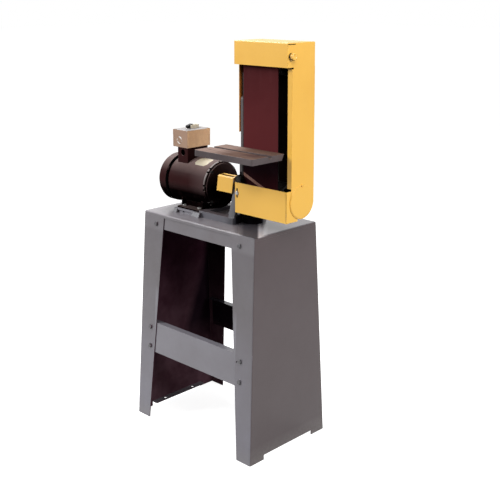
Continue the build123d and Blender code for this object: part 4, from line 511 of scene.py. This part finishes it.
        # Painted shade, black and dull: the end that faces the coupling, the underside, the feet and the
        # notches
        low = self.both(self.span(end, 0.25, 0.8), self.span(height, 0.92, 0.86, (0.55, 1.0)))
        feet = self.both(self.span(height, 0.815, 0.8), self.span(up, 0.6, 0.3, (0.6, 0.97)))
        axle = self.offset(spot(0.0, 0.0, SHAFT_Z))
        reach = self.length(self.vector("MULTIPLY", axle, (0.0, 1.0, 1.0)))
        bevel = self.span(along, -0.069, -0.0646, BELL_RADII)
        notch = self.both(flange, self.span(self.less(reach, bevel), 0.0, -0.0005))
        underside = self.span(up, 0.0, -0.38)
        painted_shade = self.either(low, underside, feet, notch)
        painted_shade = self.both(painted_shade, self.span(self.noise(40.0, 5.0), 0.3, 0.5, (0.85, 1.0)))
        self.lay((painted_shade, (0.0016, 0.0009, 0.001)))
        return painted_shade

    def base(self) -> Socket:
        """Grey over the casting with painted shade: darker on its slopes, its right-facing ends, the bridge's
        top and front and the upright, and near black beneath the lower cover.

        Returns:
            Where the gloss is lost.
        """
        along, depth, _ = self.axes()
        end, front, up = self.axes(self.normal)
        # Painted shade on the slopes, the right-facing ends, the bridge and the upright; painted shadow
        # beneath the lower cover
        slope = self.both(self.span(up, 0.12, 0.3), self.span(front, -0.2, -0.4))
        bridge = self.span(along, -0.12, -0.09)
        upright = self.span(along, 0.03, 0.06)
        painted_base_shadow = self.both(
            self.span(along, 0.0655, 0.069),
            self.span(front, 0.5, 0.1),
            self.span(depth, -0.068, -0.056))
        self.lay(
            (slope, (0.088, 0.085, 0.098)),
            (self.span(end, *TURNED), (0.05, 0.043, 0.052)),
            (self.both(bridge, self.span(up, *FACING)), (0.105, 0.085, 0.092)),
            (self.both(bridge, self.span(front, *FACING_AWAY)), (0.115, 0.113, 0.132)),
            (upright, (0.046, 0.045, 0.056)),
            (painted_base_shadow, (0.007, 0.006, 0.009)))
        return painted_base_shadow

    def covers(self) -> Socket:
        """Yellow outside and a brighter yellow low down as painted light, near black inside as painted shade,
        and a dark brown as painted shade on the inner face of the left wall.

        Returns:
            Where the gloss is lost.
        """
        along, depth, up = self.axes()
        out, front, top = self.axes(self.normal)
        # Painted shade: near black on the covers' inside faces
        dark = self.either(
            self.both(self.span(depth, 0.04, 0.05), self.span(front, *TURNED_AWAY)),
            self.both(self.span(along, 0.28, 0.29), self.span(out, *TURNED_AWAY)),
            self.both(self.span(up, 1.0, 1.01), self.span(top, *TURNED_AWAY)))
        # Painted shade on the inner face of the rear cover's left wall
        left = self.both(self.span(along, 0.074, 0.0725), self.span(out, *TURNED))
        shaded_wall = self.mix(self.span(depth, -0.03, -0.046), (0.17, 0.052, 0.012), (0.78, 0.27, 0.053))
        # Painted light: a brighter yellow low down
        low = self.span(up, 1.2, 0.86)
        self.lay((low, (0.95, 0.54, 0.084)), (dark, (0.006, 0.004, 0.0035)), (left, shaded_wall))
        return self.either(dark, left)

    def switch_box(self) -> None:
        """Painted light on the right end, paler and warmer in blotches, and paint scuffed off round the
        knockout.
        """
        end = self.span(self.axes(self.normal)[0], 0.4, 0.8)
        blotches = self.span(self.noise(45.0, 5.0), 0.35, 0.65)
        # Painted light: the right end paler than the front
        painted_light_end = self.mix(blotches, (0.76, 0.49, 0.28), (0.64, 0.385, 0.23))
        offset = self.offset(spot(*KNOCKOUT))
        off_ring = self.size(self.less(self.length(offset), KNOCKOUT_RADIUS))
        lean = self.size(self.vector("DOT_PRODUCT", offset, (1.0, 0.0, 1.0), "Value"))
        scuffed = self.both(
            self.span(off_ring, 0.003, 0.0013),
            self.span(lean, 0.005, 0.01),
            self.span(self.noise(160.0, 2.0), 0.36, 0.46))
        self.lay((end, painted_light_end), (scuffed, (0.95, 0.93, 0.9)))

    def table(self) -> Socket:
        """A ground top with brown oil stain along the grinding marks and a painted sheen towards the left,
        and painted sides with painted shade on the front, darker towards the left.

        Returns:
            Where the gloss is lost.
        """
        along = self.axes()[0]
        _, front, up = self.axes(self.normal)
        streaks = self.noise(240.0, 5.0, self.stretched((0.05, 1.0, 1.0)))
        stains = self.span(self.noise(9.0, 5.0), 0.38, 0.62)
        marks = self.span(streaks, 0.4, 0.66, (0.0, 0.6))
        # Painted sheen: paler along the streaks towards the left
        painted_sheen = self.both(self.span(along, 0.15, 0.08, (0.0, 0.85)), self.span(streaks, 0.3, 0.5))
        ground = self.layers(
            self.mix(stains, (0.12, 0.067, 0.048), (0.058, 0.029, 0.026)),
            (marks, (0.19, 0.128, 0.1)),
            (painted_sheen, (0.3, 0.215, 0.185)))
        # Painted shade on the front face, darker towards the left
        wear_and_shade = self.both(self.span(front, *FACING_AWAY), self.span(along, 0.16, 0.02, (0.0, 0.7)))
        upward = self.span(up, *FACING)
        self.lay((wear_and_shade, (0.05, 0.037, 0.04)), (upward, ground))
        return self.span(upward, 0.0, 1.0, (0.0, 0.9))

    def belt(self) -> None:
        """Abrasive grain outside with a painted shadow of the table on the part beneath it, woven backing
        inside.
        """
        _, depth, level = self.axes()
        grains = self.add("ShaderNodeTexVoronoi", {"Vector": self.place, "Scale": 1500.0}).outputs["Distance"]
        glints = self.span(self.noise(1900.0, 2.0), 0.66, 0.74, (0.0, 0.35))
        loaded = self.span(self.noise(60.0, 5.0, self.stretched((1.0, 1.0, 0.15))), 0.5, 0.75, (0.0, 0.2))
        low = self.span(level, 1.26, 1.1, (0.0, 0.6))
        # Painted shadow of the table on the belt beneath it
        table_shadow = self.both(self.span(level, 1.0, 0.982), self.span(level, 0.86, 0.95, (0.6, 0.95)))
        self.lay(
            (self.span(grains, 0.1, 0.5, (0.0, 0.4)), (0.045, 0.008, 0.0095)),
            (glints, (0.2, 0.06, 0.065)),
            (loaded, (0.12, 0.035, 0.037)),
            (low, (0.115, 0.0215, 0.0245)),
            (table_shadow, (0.004, 0.0, 0.002)))
        weave = self.add("ShaderNodeTexWave", {"Vector": self.place, "Scale": 420.0}, bands_direction="Z")
        cloth = self.mix(weave.outputs["Fac"], (0.012, 0.006, 0.005), (0.006, 0.003, 0.0025))
        off = self.less(depth, HOME.y)
        above = self.maths("MAXIMUM", self.less(level, IDLER_Z * MM), 0.0)
        below = self.maths("MINIMUM", self.less(level, SHAFT_Z * MM), 0.0)
        rise = self.maths("ADD", above, below)
        reach = self.maths("SQRT", self.maths("ADD", self.both(off, off), self.both(rise, rise)))
        self.colour = self.mix(self.span(reach, *BELT_RADII), cloth, self.colour)


class Paintshop:
    """Makes each slot's material once."""

    special = {
        "stand_enamel": Paint.stand,
        "motor_enamel": Paint.motor,
        "base_enamel": Paint.base,
        "yellow_enamel": Paint.covers,
        "box_enamel": Paint.switch_box,
        "table_iron": Paint.table,
        "abrasive": Paint.belt,
    }

    def __init__(self) -> None:
        """Starts with no material made."""
        self.made: dict[str, bpy.types.Material] = {}

    def material(self, slot: str) -> bpy.types.Material:
        """The material of a slot.

        Args:
            slot: name of the slot.

        Returns:
            The material.
        """
        if slot not in self.made:
            paint = Paint(slot)
            dull = self.special[slot](paint) if slot in self.special else None
            self.made[slot] = paint.close(dull)
        return self.made[slot]


class Bench:
    """Shapes new pieces from primitives with edit-mode operators."""

    @staticmethod
    def clear() -> None:
        """Leaves edit mode and deselects everything."""
        if bpy.context.object is not None and bpy.context.object.mode == "EDIT":
            bpy.ops.object.mode_set(mode="OBJECT")
        bpy.ops.object.select_all(action="DESELECT")

    @staticmethod
    def edit(kind: str, action: str) -> None:
        """Goes into edit mode and selects.

        Args:
            kind: VERT, EDGE or FACE, what is selected from here on.
            action: SELECT or DESELECT, for all of it.
        """
        bpy.ops.object.mode_set(mode="EDIT")
        bpy.ops.mesh.select_mode(type=kind)
        bpy.ops.mesh.select_all(action=action)

    @staticmethod
    def cap() -> None:
        """Joins corners that meet and fills open ends, in edit mode."""
        bpy.ops.mesh.select_all(action="SELECT")
        bpy.ops.mesh.remove_doubles(threshold=MERGE)
        bpy.ops.mesh.fill_holes(sides=0)

    @staticmethod
    def done(piece: bpy.types.Object, angle: float = 35.0) -> bpy.types.Object:
        """Closes the mesh, points its faces out and smooths its curved faces.

        Args:
            piece: the piece, in either mode.
            angle: faces that meet at less than this stay smooth, in degrees.

        Returns:
            The piece.
        """
        bpy.ops.object.mode_set(mode="EDIT")
        bpy.ops.mesh.select_all(action="SELECT")
        bpy.ops.mesh.remove_doubles(threshold=MERGE)
        bpy.ops.mesh.normals_make_consistent(inside=False)
        bpy.ops.object.mode_set(mode="OBJECT")
        bpy.ops.object.shade_smooth_by_angle(angle=math.radians(angle))
        return piece

    @staticmethod
    def turned(name: str, profile: list[tuple[float, float]], steps: int) -> bpy.types.Object:
        """Draws a ring out along a profile about the Z axis.

        Args:
            name: name of the piece.
            profile: (along, radius) points in millimetres. It ends where it began on a piece with a hole.
            steps: number of sides.

        Returns:
            The piece, at the origin.
        """
        Bench.clear()
        along, radius = profile[0]
        bpy.ops.mesh.primitive_circle_add(vertices=steps, radius=radius * MM, location=(0, 0, along * MM))
        piece = bpy.context.object
        piece.name = name
        bpy.ops.object.transform_apply(location=True, rotation=False, scale=False)
        Bench.edit("EDGE", "SELECT")
        for next_along, next_radius in profile[1:]:
            rise = (0, 0, (next_along - along) * MM)
            share = next_radius / radius
            bpy.ops.mesh.extrude_edges_move(TRANSFORM_OT_translate={"value": rise})
            bpy.ops.transform.resize(value=(share, share, 1.0), center_override=(0, 0, next_along * MM))
            along, radius = next_along, next_radius
        Bench.cap()
        return Bench.done(piece)

    @staticmethod
    def copies(master: bpy.types.Object, places: list[Matrix], name: str) -> bpy.types.Object:
        """Copies a piece modelled at the origin to several places and joins the copies.

        Args:
            master: the piece.
            places: where each copy goes.
            name: name of the joined piece.

        Returns:
            The joined piece.
        """
        Bench.clear()
        made = []
        for place in places:
            copy = master.copy()
            copy.data = master.data.copy()
            copy.data.transform(place)
            bpy.context.scene.collection.objects.link(copy)
            made.append(copy)
        bpy.data.objects.remove(master)
        for copy in made:
            copy.select_set(True)
        bpy.context.view_layer.objects.active = made[0]
        bpy.ops.object.join()
        made[0].name = name
        return made[0]

    @staticmethod
    def aimed(place: Vector, out: Vector) -> Matrix:
        """A place whose Z axis points along a direction."""
        return Matrix.Translation(place) @ out.to_track_quat("Z", "Y").to_matrix().to_4x4()

    @staticmethod
    def flutes(piece: bpy.types.Object, axis: Vector, centre: Vector, depth: float) -> None:
        """Presses every other side face of a turned grip inwards.

        Args:
            piece: the grip.
            axis: its axis.
            centre: a point of the axis.
            depth: how far the faces go in, in millimetres.
        """
        Bench.clear()
        bpy.context.view_layer.objects.active = piece
        piece.select_set(True)
        Bench.edit("FACE", "DESELECT")
        mesh = bmesh.from_edit_mesh(piece.data)
        across = axis.orthogonal().normalized()
        side = axis.cross(across)
        ring = []
        reach = max((vert.co - centre - axis * (vert.co - centre).dot(axis)).length for vert in mesh.verts)
        for face in mesh.faces:
            middle = face.calc_center_median() - centre
            flat = middle - axis * middle.dot(axis)
            if abs(face.normal.dot(axis)) < SIDE_LEAN and flat.length > reach * RIM_SHARE:
                ring.append((math.atan2(flat.dot(side), flat.dot(across)), face))
        ring.sort(key=lambda entry: entry[0])
        for number, (_, face) in enumerate(ring):
            face.select = number % 2 == 0
        bmesh.update_edit_mesh(piece.data)
        bpy.ops.mesh.inset(thickness=depth * FLUTE_BORDER * MM, depth=-depth * MM)
        bpy.ops.mesh.select_mode(type="VERT")
        Bench.done(piece, 30.0)


@dataclass
class Trim:
    """Base of the sub-assemblies' added detail.

    Attributes:
        paint: where the finishes come from.
    """

    paint: Paintshop

    def place(
            self, piece: bpy.types.Object, body: str, slot: str,
            material: bpy.types.Material | None = None) -> bpy.types.Object:
        """Dresses a piece and lets it ride on a body.

        Args:
            piece: the piece.
            body: the CAD body.
            slot: the record's material slot.
            material: its material, or none for the slot's own.

        Returns:
            The piece.
        """
        piece.data.materials.clear()
        piece.data.materials.append(material or self.paint.material(slot))
        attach(piece, body)
        LOG.info("%s rides on %s", piece.name, body)
        return piece


@dataclass
class StandTrim(Trim):
    """Washers under the stand's bolts, sizes in millimetres."""

    height: float = 755.0
    foot_length: float = 571.0
    top_length: float = 542.0
    foot_depth: float = 372.0
    top_depth: float = 300.0
    top_level: float = 718.0
    top_inset: float = 66.7
    stretcher_level: float = 303.5
    stretcher_pitch: float = 70.0
    stretcher_inset: float = 54.7

    def half_length(self, level: float) -> float:
        """Half length of the stand's outside at a height."""
        return (self.foot_length + (self.top_length - self.foot_length) * level / self.height) / 2

    def half_depth(self, level: float) -> float:
        """Half depth of the stand's outside at a height."""
        return (self.foot_depth + (self.top_depth - self.foot_depth) * level / self.height) / 2

    def bolts(self) -> list[Matrix]:
        """Works out where the bolts are.

        Returns:
            Their places, each facing out of the sheet.
        """
        lean = math.atan2((self.foot_depth - self.top_depth) / 2, self.height)
        row = self.half_length(self.stretcher_level) - self.stretcher_inset
        levels = [(self.half_length(self.top_level) - self.top_inset, self.top_level)]
        levels += [(row, self.stretcher_level + step * self.stretcher_pitch / 2) for step in (-1, 1)]
        places = []
        for side in (-1, 1):
            out = Vector((0, side * math.cos(lean), math.sin(lean)))
            for x, z in levels:
                for end in (-1, 1):
                    places.append(Bench.aimed(spot(end * x, side * self.half_depth(z), z), out))
        return places

    def build(self) -> None:
        """Builds the washers."""
        profile = [(0.0, 4.6), (0.0, 8.6), (0.9, 8.6), (1.3, 8.1), (1.3, 4.6), (0.0, 4.6)]
        washer = Bench.turned("washer", profile, 32)
        self.place(Bench.copies(washer, self.bolts(), "stand_washers"), "base", "stand_enamel")


@dataclass
class MotorTrim(Trim):
    """Rivets of the blank plate and weld beads of the cradle, sizes in millimetres."""

    shell_radius: float = 83.02
    plate_x: tuple[float, float] = (-117.0, -65.0)
    plate_angle: float = 19.5
    saddle_x: tuple[float, float] = (-172.0, -64.0)
    bead_radius: float = 2.2
    bead_arc: float = 92.0
    bead_steps: int = 48
    bead_ripple: float = 0.35
    plate: float = 0.6

    def build(self) -> None:
        """Builds the rivets and the beads."""
        profile = [(-0.5, 2.2), (0.2, 2.2), (0.8, 1.7), (1.15, 0.9), (1.25, 0.3)]
        places = []
        turn = math.radians(self.plate_angle)
        out = Vector((0, -math.sin(turn), math.cos(turn)))
        reach = self.shell_radius + self.plate
        for x in self.plate_x:
            places.append(Bench.aimed(spot(x, out.y * reach, SHAFT_Z + out.z * reach), out))
        rivets = Bench.copies(Bench.turned("rivet", profile, 16), places, "plate_rivets")
        self.place(rivets, "base", "zinc_steel")
        for x, name in zip(self.saddle_x, ("left", "right")):
            self.bead(x, name)

    def bead(self, x: float, name: str) -> None:
        """One weld bead between a saddle and the shell.

        Args:
            x: the saddle's outer face.
            name: which saddle it is.
        """
        Bench.clear()
        centre = spot(x, 0, SHAFT_Z)
        turn = math.radians(self.bead_arc / 2)
        arm = Vector((0, math.sin(turn), -math.cos(turn))) * self.shell_radius * MM
        lean = (math.radians(90.0) + turn, 0, 0)
        bpy.ops.mesh.primitive_circle_add(
            vertices=10, radius=self.bead_radius * MM, location=centre + arm, rotation=lean)
        bead = bpy.context.object
        bead.name = f"{name}_saddle_weld"
        bpy.ops.object.transform_apply(location=True, rotation=True, scale=False)
        Bench.edit("EDGE", "SELECT")
        bpy.ops.mesh.spin(steps=self.bead_steps, angle=turn * 2, center=centre, axis=(1, 0, 0))
        Bench.cap()
        bpy.ops.mesh.normals_make_consistent(inside=False)
        Bench.edit("VERT", "DESELECT")
        mesh = bmesh.from_edit_mesh(bead.data)
        for vert in mesh.verts:
            reach = vert.co - centre
            ring = round((math.atan2(reach.y, -reach.z) / (turn * 2) + 0.5) * self.bead_steps)
            vert.select = ring % 2 == 0
        bmesh.update_edit_mesh(bead.data)
        bpy.ops.transform.shrink_fatten(value=-self.bead_ripple * MM)
        self.place(Bench.done(bead), "base", "motor_enamel")


@dataclass
class SwitchTrim(Trim):
    """The switch's yoke plate and its screws, sizes in millimetres."""

    middle_x: float = -195.0
    span_y: tuple[float, float] = (-19.0, 49.0)
    width: float = 25.0
    lid_top: float = 1041.0
    plate: float = 0.8
    corner: float = 6.0
    screw_y: tuple[float, float] = (-15.6, 45.0)

    def build(self) -> None:
        """Builds the plate and the screws."""
        Bench.clear()
        middle = spot(self.middle_x, sum(self.span_y) / 2, self.lid_top + self.plate / 2)
        bpy.ops.mesh.primitive_cube_add(size=1.0, location=middle)
        yoke = bpy.context.object
        yoke.name = "switch_yoke"
        yoke.scale = (self.width * MM, (self.span_y[1] - self.span_y[0]) * MM, self.plate * MM)
        bpy.ops.object.transform_apply(location=True, rotation=False, scale=True)
        Bench.edit("EDGE", "DESELECT")
        mesh = bmesh.from_edit_mesh(yoke.data)
        for edge in mesh.edges:
            edge.select = abs((edge.verts[0].co - edge.verts[1].co).normalized().z) > UPRIGHT
        bmesh.update_edit_mesh(yoke.data)
        bpy.ops.mesh.bevel(offset=self.corner * MM, segments=6)
        self.place(Bench.done(yoke), "base", "lid_metal")
        profile = [(0.0, 2.8), (0.7, 2.7), (1.3, 2.1), (1.6, 1.2), (1.7, 0.4)]
        places = [Bench.aimed(spot(self.middle_x, y, self.lid_top + self.plate), Vector((0, 0, 1)))
                  for y in self.screw_y]
        screws = Bench.copies(Bench.turned("yoke_screw", profile, 20), places, "yoke_screws")
        self.place(screws, "base", "zinc_steel")


@dataclass
class HeadTrim(Trim):
    """Knob grips, washers and the belt's splice, sizes in millimetres."""

    cover_knob: Point = (337.0, -57.0, 1324.965)
    tracking_knob: Point = (99.5, 0.0, 1279.065)
    belt_left: float = 126.5
    belt_right: float = 278.9
    belt_front: float = -52.3
    splice_top: float = 929.5
    splice_fall: float = 0.42
    splice_width: float = 10.5
    splice_gap: float = 0.02
    splice_sheet: float = 0.25
    cover_flute: float = 0.9
    tracking_flute: float = 1.1
    lower_washer: Point = (115.0, -71.5, 864.7)

    def build(self) -> None:
        """Builds the head's pieces."""
        self.cover_grip()
        self.tracking_grip()
        self.splice()
        ring = [(0.0, 3.3), (0.0, 7.0), (0.8, 7.0), (1.1, 6.6), (1.1, 3.3), (0.0, 3.3)]
        places = [Bench.aimed(spot(*self.lower_washer), Vector((0, -1, 0)))]
        washer = Bench.copies(Bench.turned("ring", ring, 28), places, "lower_cover_washer")
        self.place(washer, "base", "zinc_steel")

    def cover_grip(self) -> None:
        """The belt cover's knob: a fluted grip with a dished face, on a narrow neck and a dark washer whose
        darkness is painted shade.
        """
        along = Vector((1, 0, 0))
        place = Bench.aimed(spot(*self.cover_knob), along)
        profile = [(-10.5, 3.9), (0.0, 3.9), (0.0, 6.4), (4.4, 5.6), (5.2, 11.2), (6.2, 12.0),
                   (12.6, 12.0), (14.6, 11.0), (15.6, 8.6), (14.6, 6.4), (14.2, 1.0)]
        grip = Bench.copies(Bench.turned("grip", profile, 32), [place], "cover_knob_grip")
        Bench.flutes(grip, along, spot(*self.cover_knob), self.cover_flute)
        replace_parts(self.place(grip, "cover_knob", "yellow_enamel"), "cover_knob")
        # Painted shade: the washer's dark finish stands for the shade beneath the knob's head
        ring = [(-0.3, 6.8), (-0.3, 10.6), (0.9, 10.6), (1.4, 10.0), (1.4, 6.8), (-0.3, 6.8)]
        washer = Bench.copies(Bench.turned("ring", ring, 40), [place], "cover_knob_washer")
        self.place(washer, "belt_cover", "dark_steel")

    def tracking_grip(self) -> None:
        """The tracking knob: a fluted grip on its screw."""
        along = Vector((-1, 0, 0))
        place = Bench.aimed(spot(*self.tracking_knob), along)
        profile = [(-22.3, 3.9), (0.0, 3.9), (0.0, 10.0), (2.0, 13.4), (4.0, 14.0), (17.0, 14.0),
                   (19.0, 13.0), (20.0, 10.6), (18.6, 8.0), (18.2, 1.0)]
        grip = Bench.copies(Bench.turned("grip", profile, 40), [place], "tracking_knob_grip")
        Bench.flutes(grip, along, spot(*self.tracking_knob), self.tracking_flute)
        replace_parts(self.place(grip, "tracking_knob", "black_plastic"), "tracking_knob")

    def splice(self) -> None:
        """The tape over the belt's slanting joint."""
        Bench.clear()
        width = self.belt_right - self.belt_left
        height = self.splice_width * math.sqrt(1 + self.splice_fall ** 2)
        middle_x = (self.belt_left + self.belt_right) / 2
        middle = spot(middle_x, self.belt_front - self.splice_gap, self.splice_top)
        bpy.ops.mesh.primitive_plane_add(size=1.0, location=middle, rotation=(math.radians(90.0), 0, 0))
        tape = bpy.context.object
        tape.name = "belt_splice"
        tape.scale = (width * MM, height * MM, 1.0)
        bpy.ops.object.transform_apply(location=True, rotation=True, scale=True)
        Bench.edit("VERT", "DESELECT")
        mesh = bmesh.from_edit_mesh(tape.data)
        for vert in mesh.verts:
            vert.select = vert.co.x > middle.x
        bmesh.update_edit_mesh(tape.data)
        bpy.ops.transform.translate(value=(0, 0, -self.splice_fall * width * MM))
        bpy.ops.mesh.select_all(action="SELECT")
        bpy.ops.mesh.subdivide(number_cuts=6)
        bpy.ops.mesh.extrude_region_move(TRANSFORM_OT_translate={"value": (0, -self.splice_sheet * MM, 0)})
        self.place(Bench.done(tape), "head", "abrasive", self.tape_material())

    def tape_material(self) -> bpy.types.Material:
        """The scuffed tape: a tan sheet with maroon grit ground into it.

        Returns:
            The material.
        """
        coat = Coat("splice_tape")
        wear_and_shade = coat.span(coat.noise(140.0, 5.0), 0.42, 0.66)
        colour = coat.mix(wear_and_shade, (0.30, 0.145, 0.105), (0.17, 0.07, 0.055))
        grit = coat.span(coat.noise(1500.0, 2.0), 0.58, 0.68, (0.0, 0.5))
        coat.link(coat.mix(grit, colour, (0.07, 0.016, 0.017)), "Base Color")
        coat.link(coat.span(coat.noise(90.0, 4.0), 0.3, 0.7, (0.5, 0.7)), "Roughness")
        coat.bump(coat.noise(1500.0, 3.0), 0.00006)
        return coat.material


@dataclass
class TableTrim(Trim):
    """The steel insert in the face of the table's knob, sizes in millimetres."""

    knob: Point = (115.75, -69.3, 910.0)

    def build(self) -> None:
        """Builds the insert."""
        profile = [(-1.0, 5.0), (0.3, 5.0), (0.7, 4.6), (0.7, 2.6), (-0.2, 2.2), (-0.2, 0.5)]
        places = [Bench.aimed(spot(*self.knob), Vector((0, -1, 0)))]
        insert = Bench.copies(Bench.turned("insert", profile, 28), places, "table_knob_insert")
        self.place(insert, "table_knob", "dark_steel")


@dataclass(frozen=True)
class Lamp:
    """A soft square lamp: name, place and aim in metres, side in metres, power in watts."""

    name: str
    place: Point
    aim: Point
    size: float
    power: float

    def hang(self) -> None:
        """Adds the lamp to the scene."""
        data = bpy.data.lights.new(self.name, "AREA")
        data.size = self.size
        data.energy = self.power
        lamp = bpy.data.objects.new(self.name, data)
        lamp.location = self.place
        lamp.rotation_euler = (Vector(self.aim) - Vector(self.place)).to_track_quat("-Z", "Y").to_euler()
        bpy.context.scene.collection.objects.link(lamp)


@dataclass
class Studio:
    """Floor, world, lamps and camera.

    Attributes:
        eye: the camera's place in metres.
        azimuth, elevation: its turn from +Y and how far it looks down, in degrees.
        lens, sensor: focal length and sensor width in millimetres.
        shift: upward shift of the frame, as a share of its width.
        floor_side: length of the floor's side in metres.
        floor_back, floor_seen: grey of the floor in the light it sends back up, and as it is seen.
        floor_glow: light that the seen floor gives by itself.
        room: strength of the room's light.
        lamps: the lamps.
    """

    eye: Point = (2.16305, -2.1439, 1.5274)
    azimuth: float = 44.2
    elevation: float = 9.6
    lens: float = 65.62
    sensor: float = 36.0
    shift: float = -0.2126
    floor_side: float = 60.0
    floor_back: float = 0.2
    floor_seen: float = 0.62
    floor_glow: float = 0.885
    room: float = 0.2
    lamps: tuple[Lamp, ...] = (
        Lamp("left", (-1.9, -2.3, 2.6), (0.0, 0.0, 0.85), 1.4, 98.0),
        Lamp("front", (1.9, -1.2, 2.9), (0.1, 0.0, 0.95), 1.2, 36.0),
        Lamp("right", (2.4, 0.3, 1.85), (0.2, 0.0, 1.0), 1.2, 33.5),
        Lamp("above", (-1.3, 0.6, 2.6), (-0.1, 0.0, 0.85), 0.9, 34.0),
    )

    def camera(self) -> None:
        """Sets up the camera at the photograph's angle."""
        data = bpy.data.cameras.new("camera")
        data.lens = self.lens
        data.sensor_width = self.sensor
        data.shift_y = self.shift
        camera = bpy.data.objects.new("camera", data)
        camera.location = self.eye
        camera.rotation_euler = (math.radians(90.0 - self.elevation), 0.0, math.radians(self.azimuth))
        bpy.context.scene.collection.objects.link(camera)
        bpy.context.scene.camera = camera

    @staticmethod
    def seen(tree: bpy.types.NodeTree) -> Socket:
        """A number that is 1 for camera, glossy and transmission rays.

        Args:
            tree: the node tree to build in.

        Returns:
            The number.
        """
        rays = tree.nodes.new("ShaderNodeLightPath").outputs
        total = rays["Is Camera Ray"]
        for name in ("Is Glossy Ray", "Is Transmission Ray"):
            step = tree.nodes.new("ShaderNodeMath")
            step.operation = "MAXIMUM"
            tree.links.new(total, step.inputs[0])
            tree.links.new(rays[name], step.inputs[1])
            total = step.outputs[0]
        return total

    def floor(self) -> None:
        """Lays the plain pale floor, which keeps the shadow and sends little light back up."""
        Bench.clear()
        bpy.ops.mesh.primitive_plane_add(size=self.floor_side)
        plane = bpy.context.object
        plane.name = "floor"
        material = bpy.data.materials.new("floor_white")
        material.use_nodes = True
        tree = material.node_tree
        tree.nodes.clear()
        kinds = ("BsdfDiffuse", "BsdfDiffuse", "Emission", "AddShader", "MixShader", "OutputMaterial")
        dull, pale, glow, both, choice, out = (tree.nodes.new("ShaderNode" + kind) for kind in kinds)
        for node, grey in ((dull, self.floor_back), (pale, self.floor_seen)):
            node.inputs["Color"].default_value = (grey, grey, grey, 1.0)
        glow.inputs["Strength"].default_value = self.floor_glow
        for output, socket in (
            (pale.outputs[0], both.inputs[0]),
            (glow.outputs[0], both.inputs[1]),
            (self.seen(tree), choice.inputs[0]),
            (dull.outputs[0], choice.inputs[1]),
            (both.outputs[0], choice.inputs[2]),
            (choice.outputs[0], out.inputs[0]),
        ):
            tree.links.new(output, socket)
        plane.data.materials.append(material)

    def world(self) -> None:
        """Lights the room evenly and shows it white."""
        world = bpy.data.worlds.new("studio")
        world.use_nodes = True
        bpy.context.scene.world = world
        tree = world.node_tree
        back = tree.nodes["Background"]
        strength = tree.nodes.new("ShaderNodeMapRange")
        strength.inputs["To Min"].default_value = self.room
        strength.inputs["To Max"].default_value = 1.0
        tree.links.new(self.seen(tree), strength.inputs["Value"])
        tree.links.new(strength.outputs["Result"], back.inputs["Strength"])
        back.inputs["Color"].default_value = (1.0, 1.0, 1.0, 1.0)

    def build(self) -> None:
        """Builds the whole studio."""
        self.floor()
        self.world()
        for lamp in self.lamps:
            lamp.hang()
        self.camera()
        bpy.context.scene.view_settings.view_transform = "Standard"


def main() -> None:
    """Builds the scene."""
    logging.basicConfig(level=logging.INFO)
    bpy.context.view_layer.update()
    paint = Paintshop()
    for entry in frame["record"]["subparts"]:
        name, slot = entry["node"], entry["material_slot"]
        node = frame["nodes"][name]
        node.data.materials.clear()
        node.data.materials.append(paint.material(slot))
        LOG.info("%s is finished in %s", name, slot)
    for trim in (StandTrim, MotorTrim, SwitchTrim, HeadTrim, TableTrim):
        trim(paint).build()
    Studio().build()


if __name__ == "__main__":
    main()
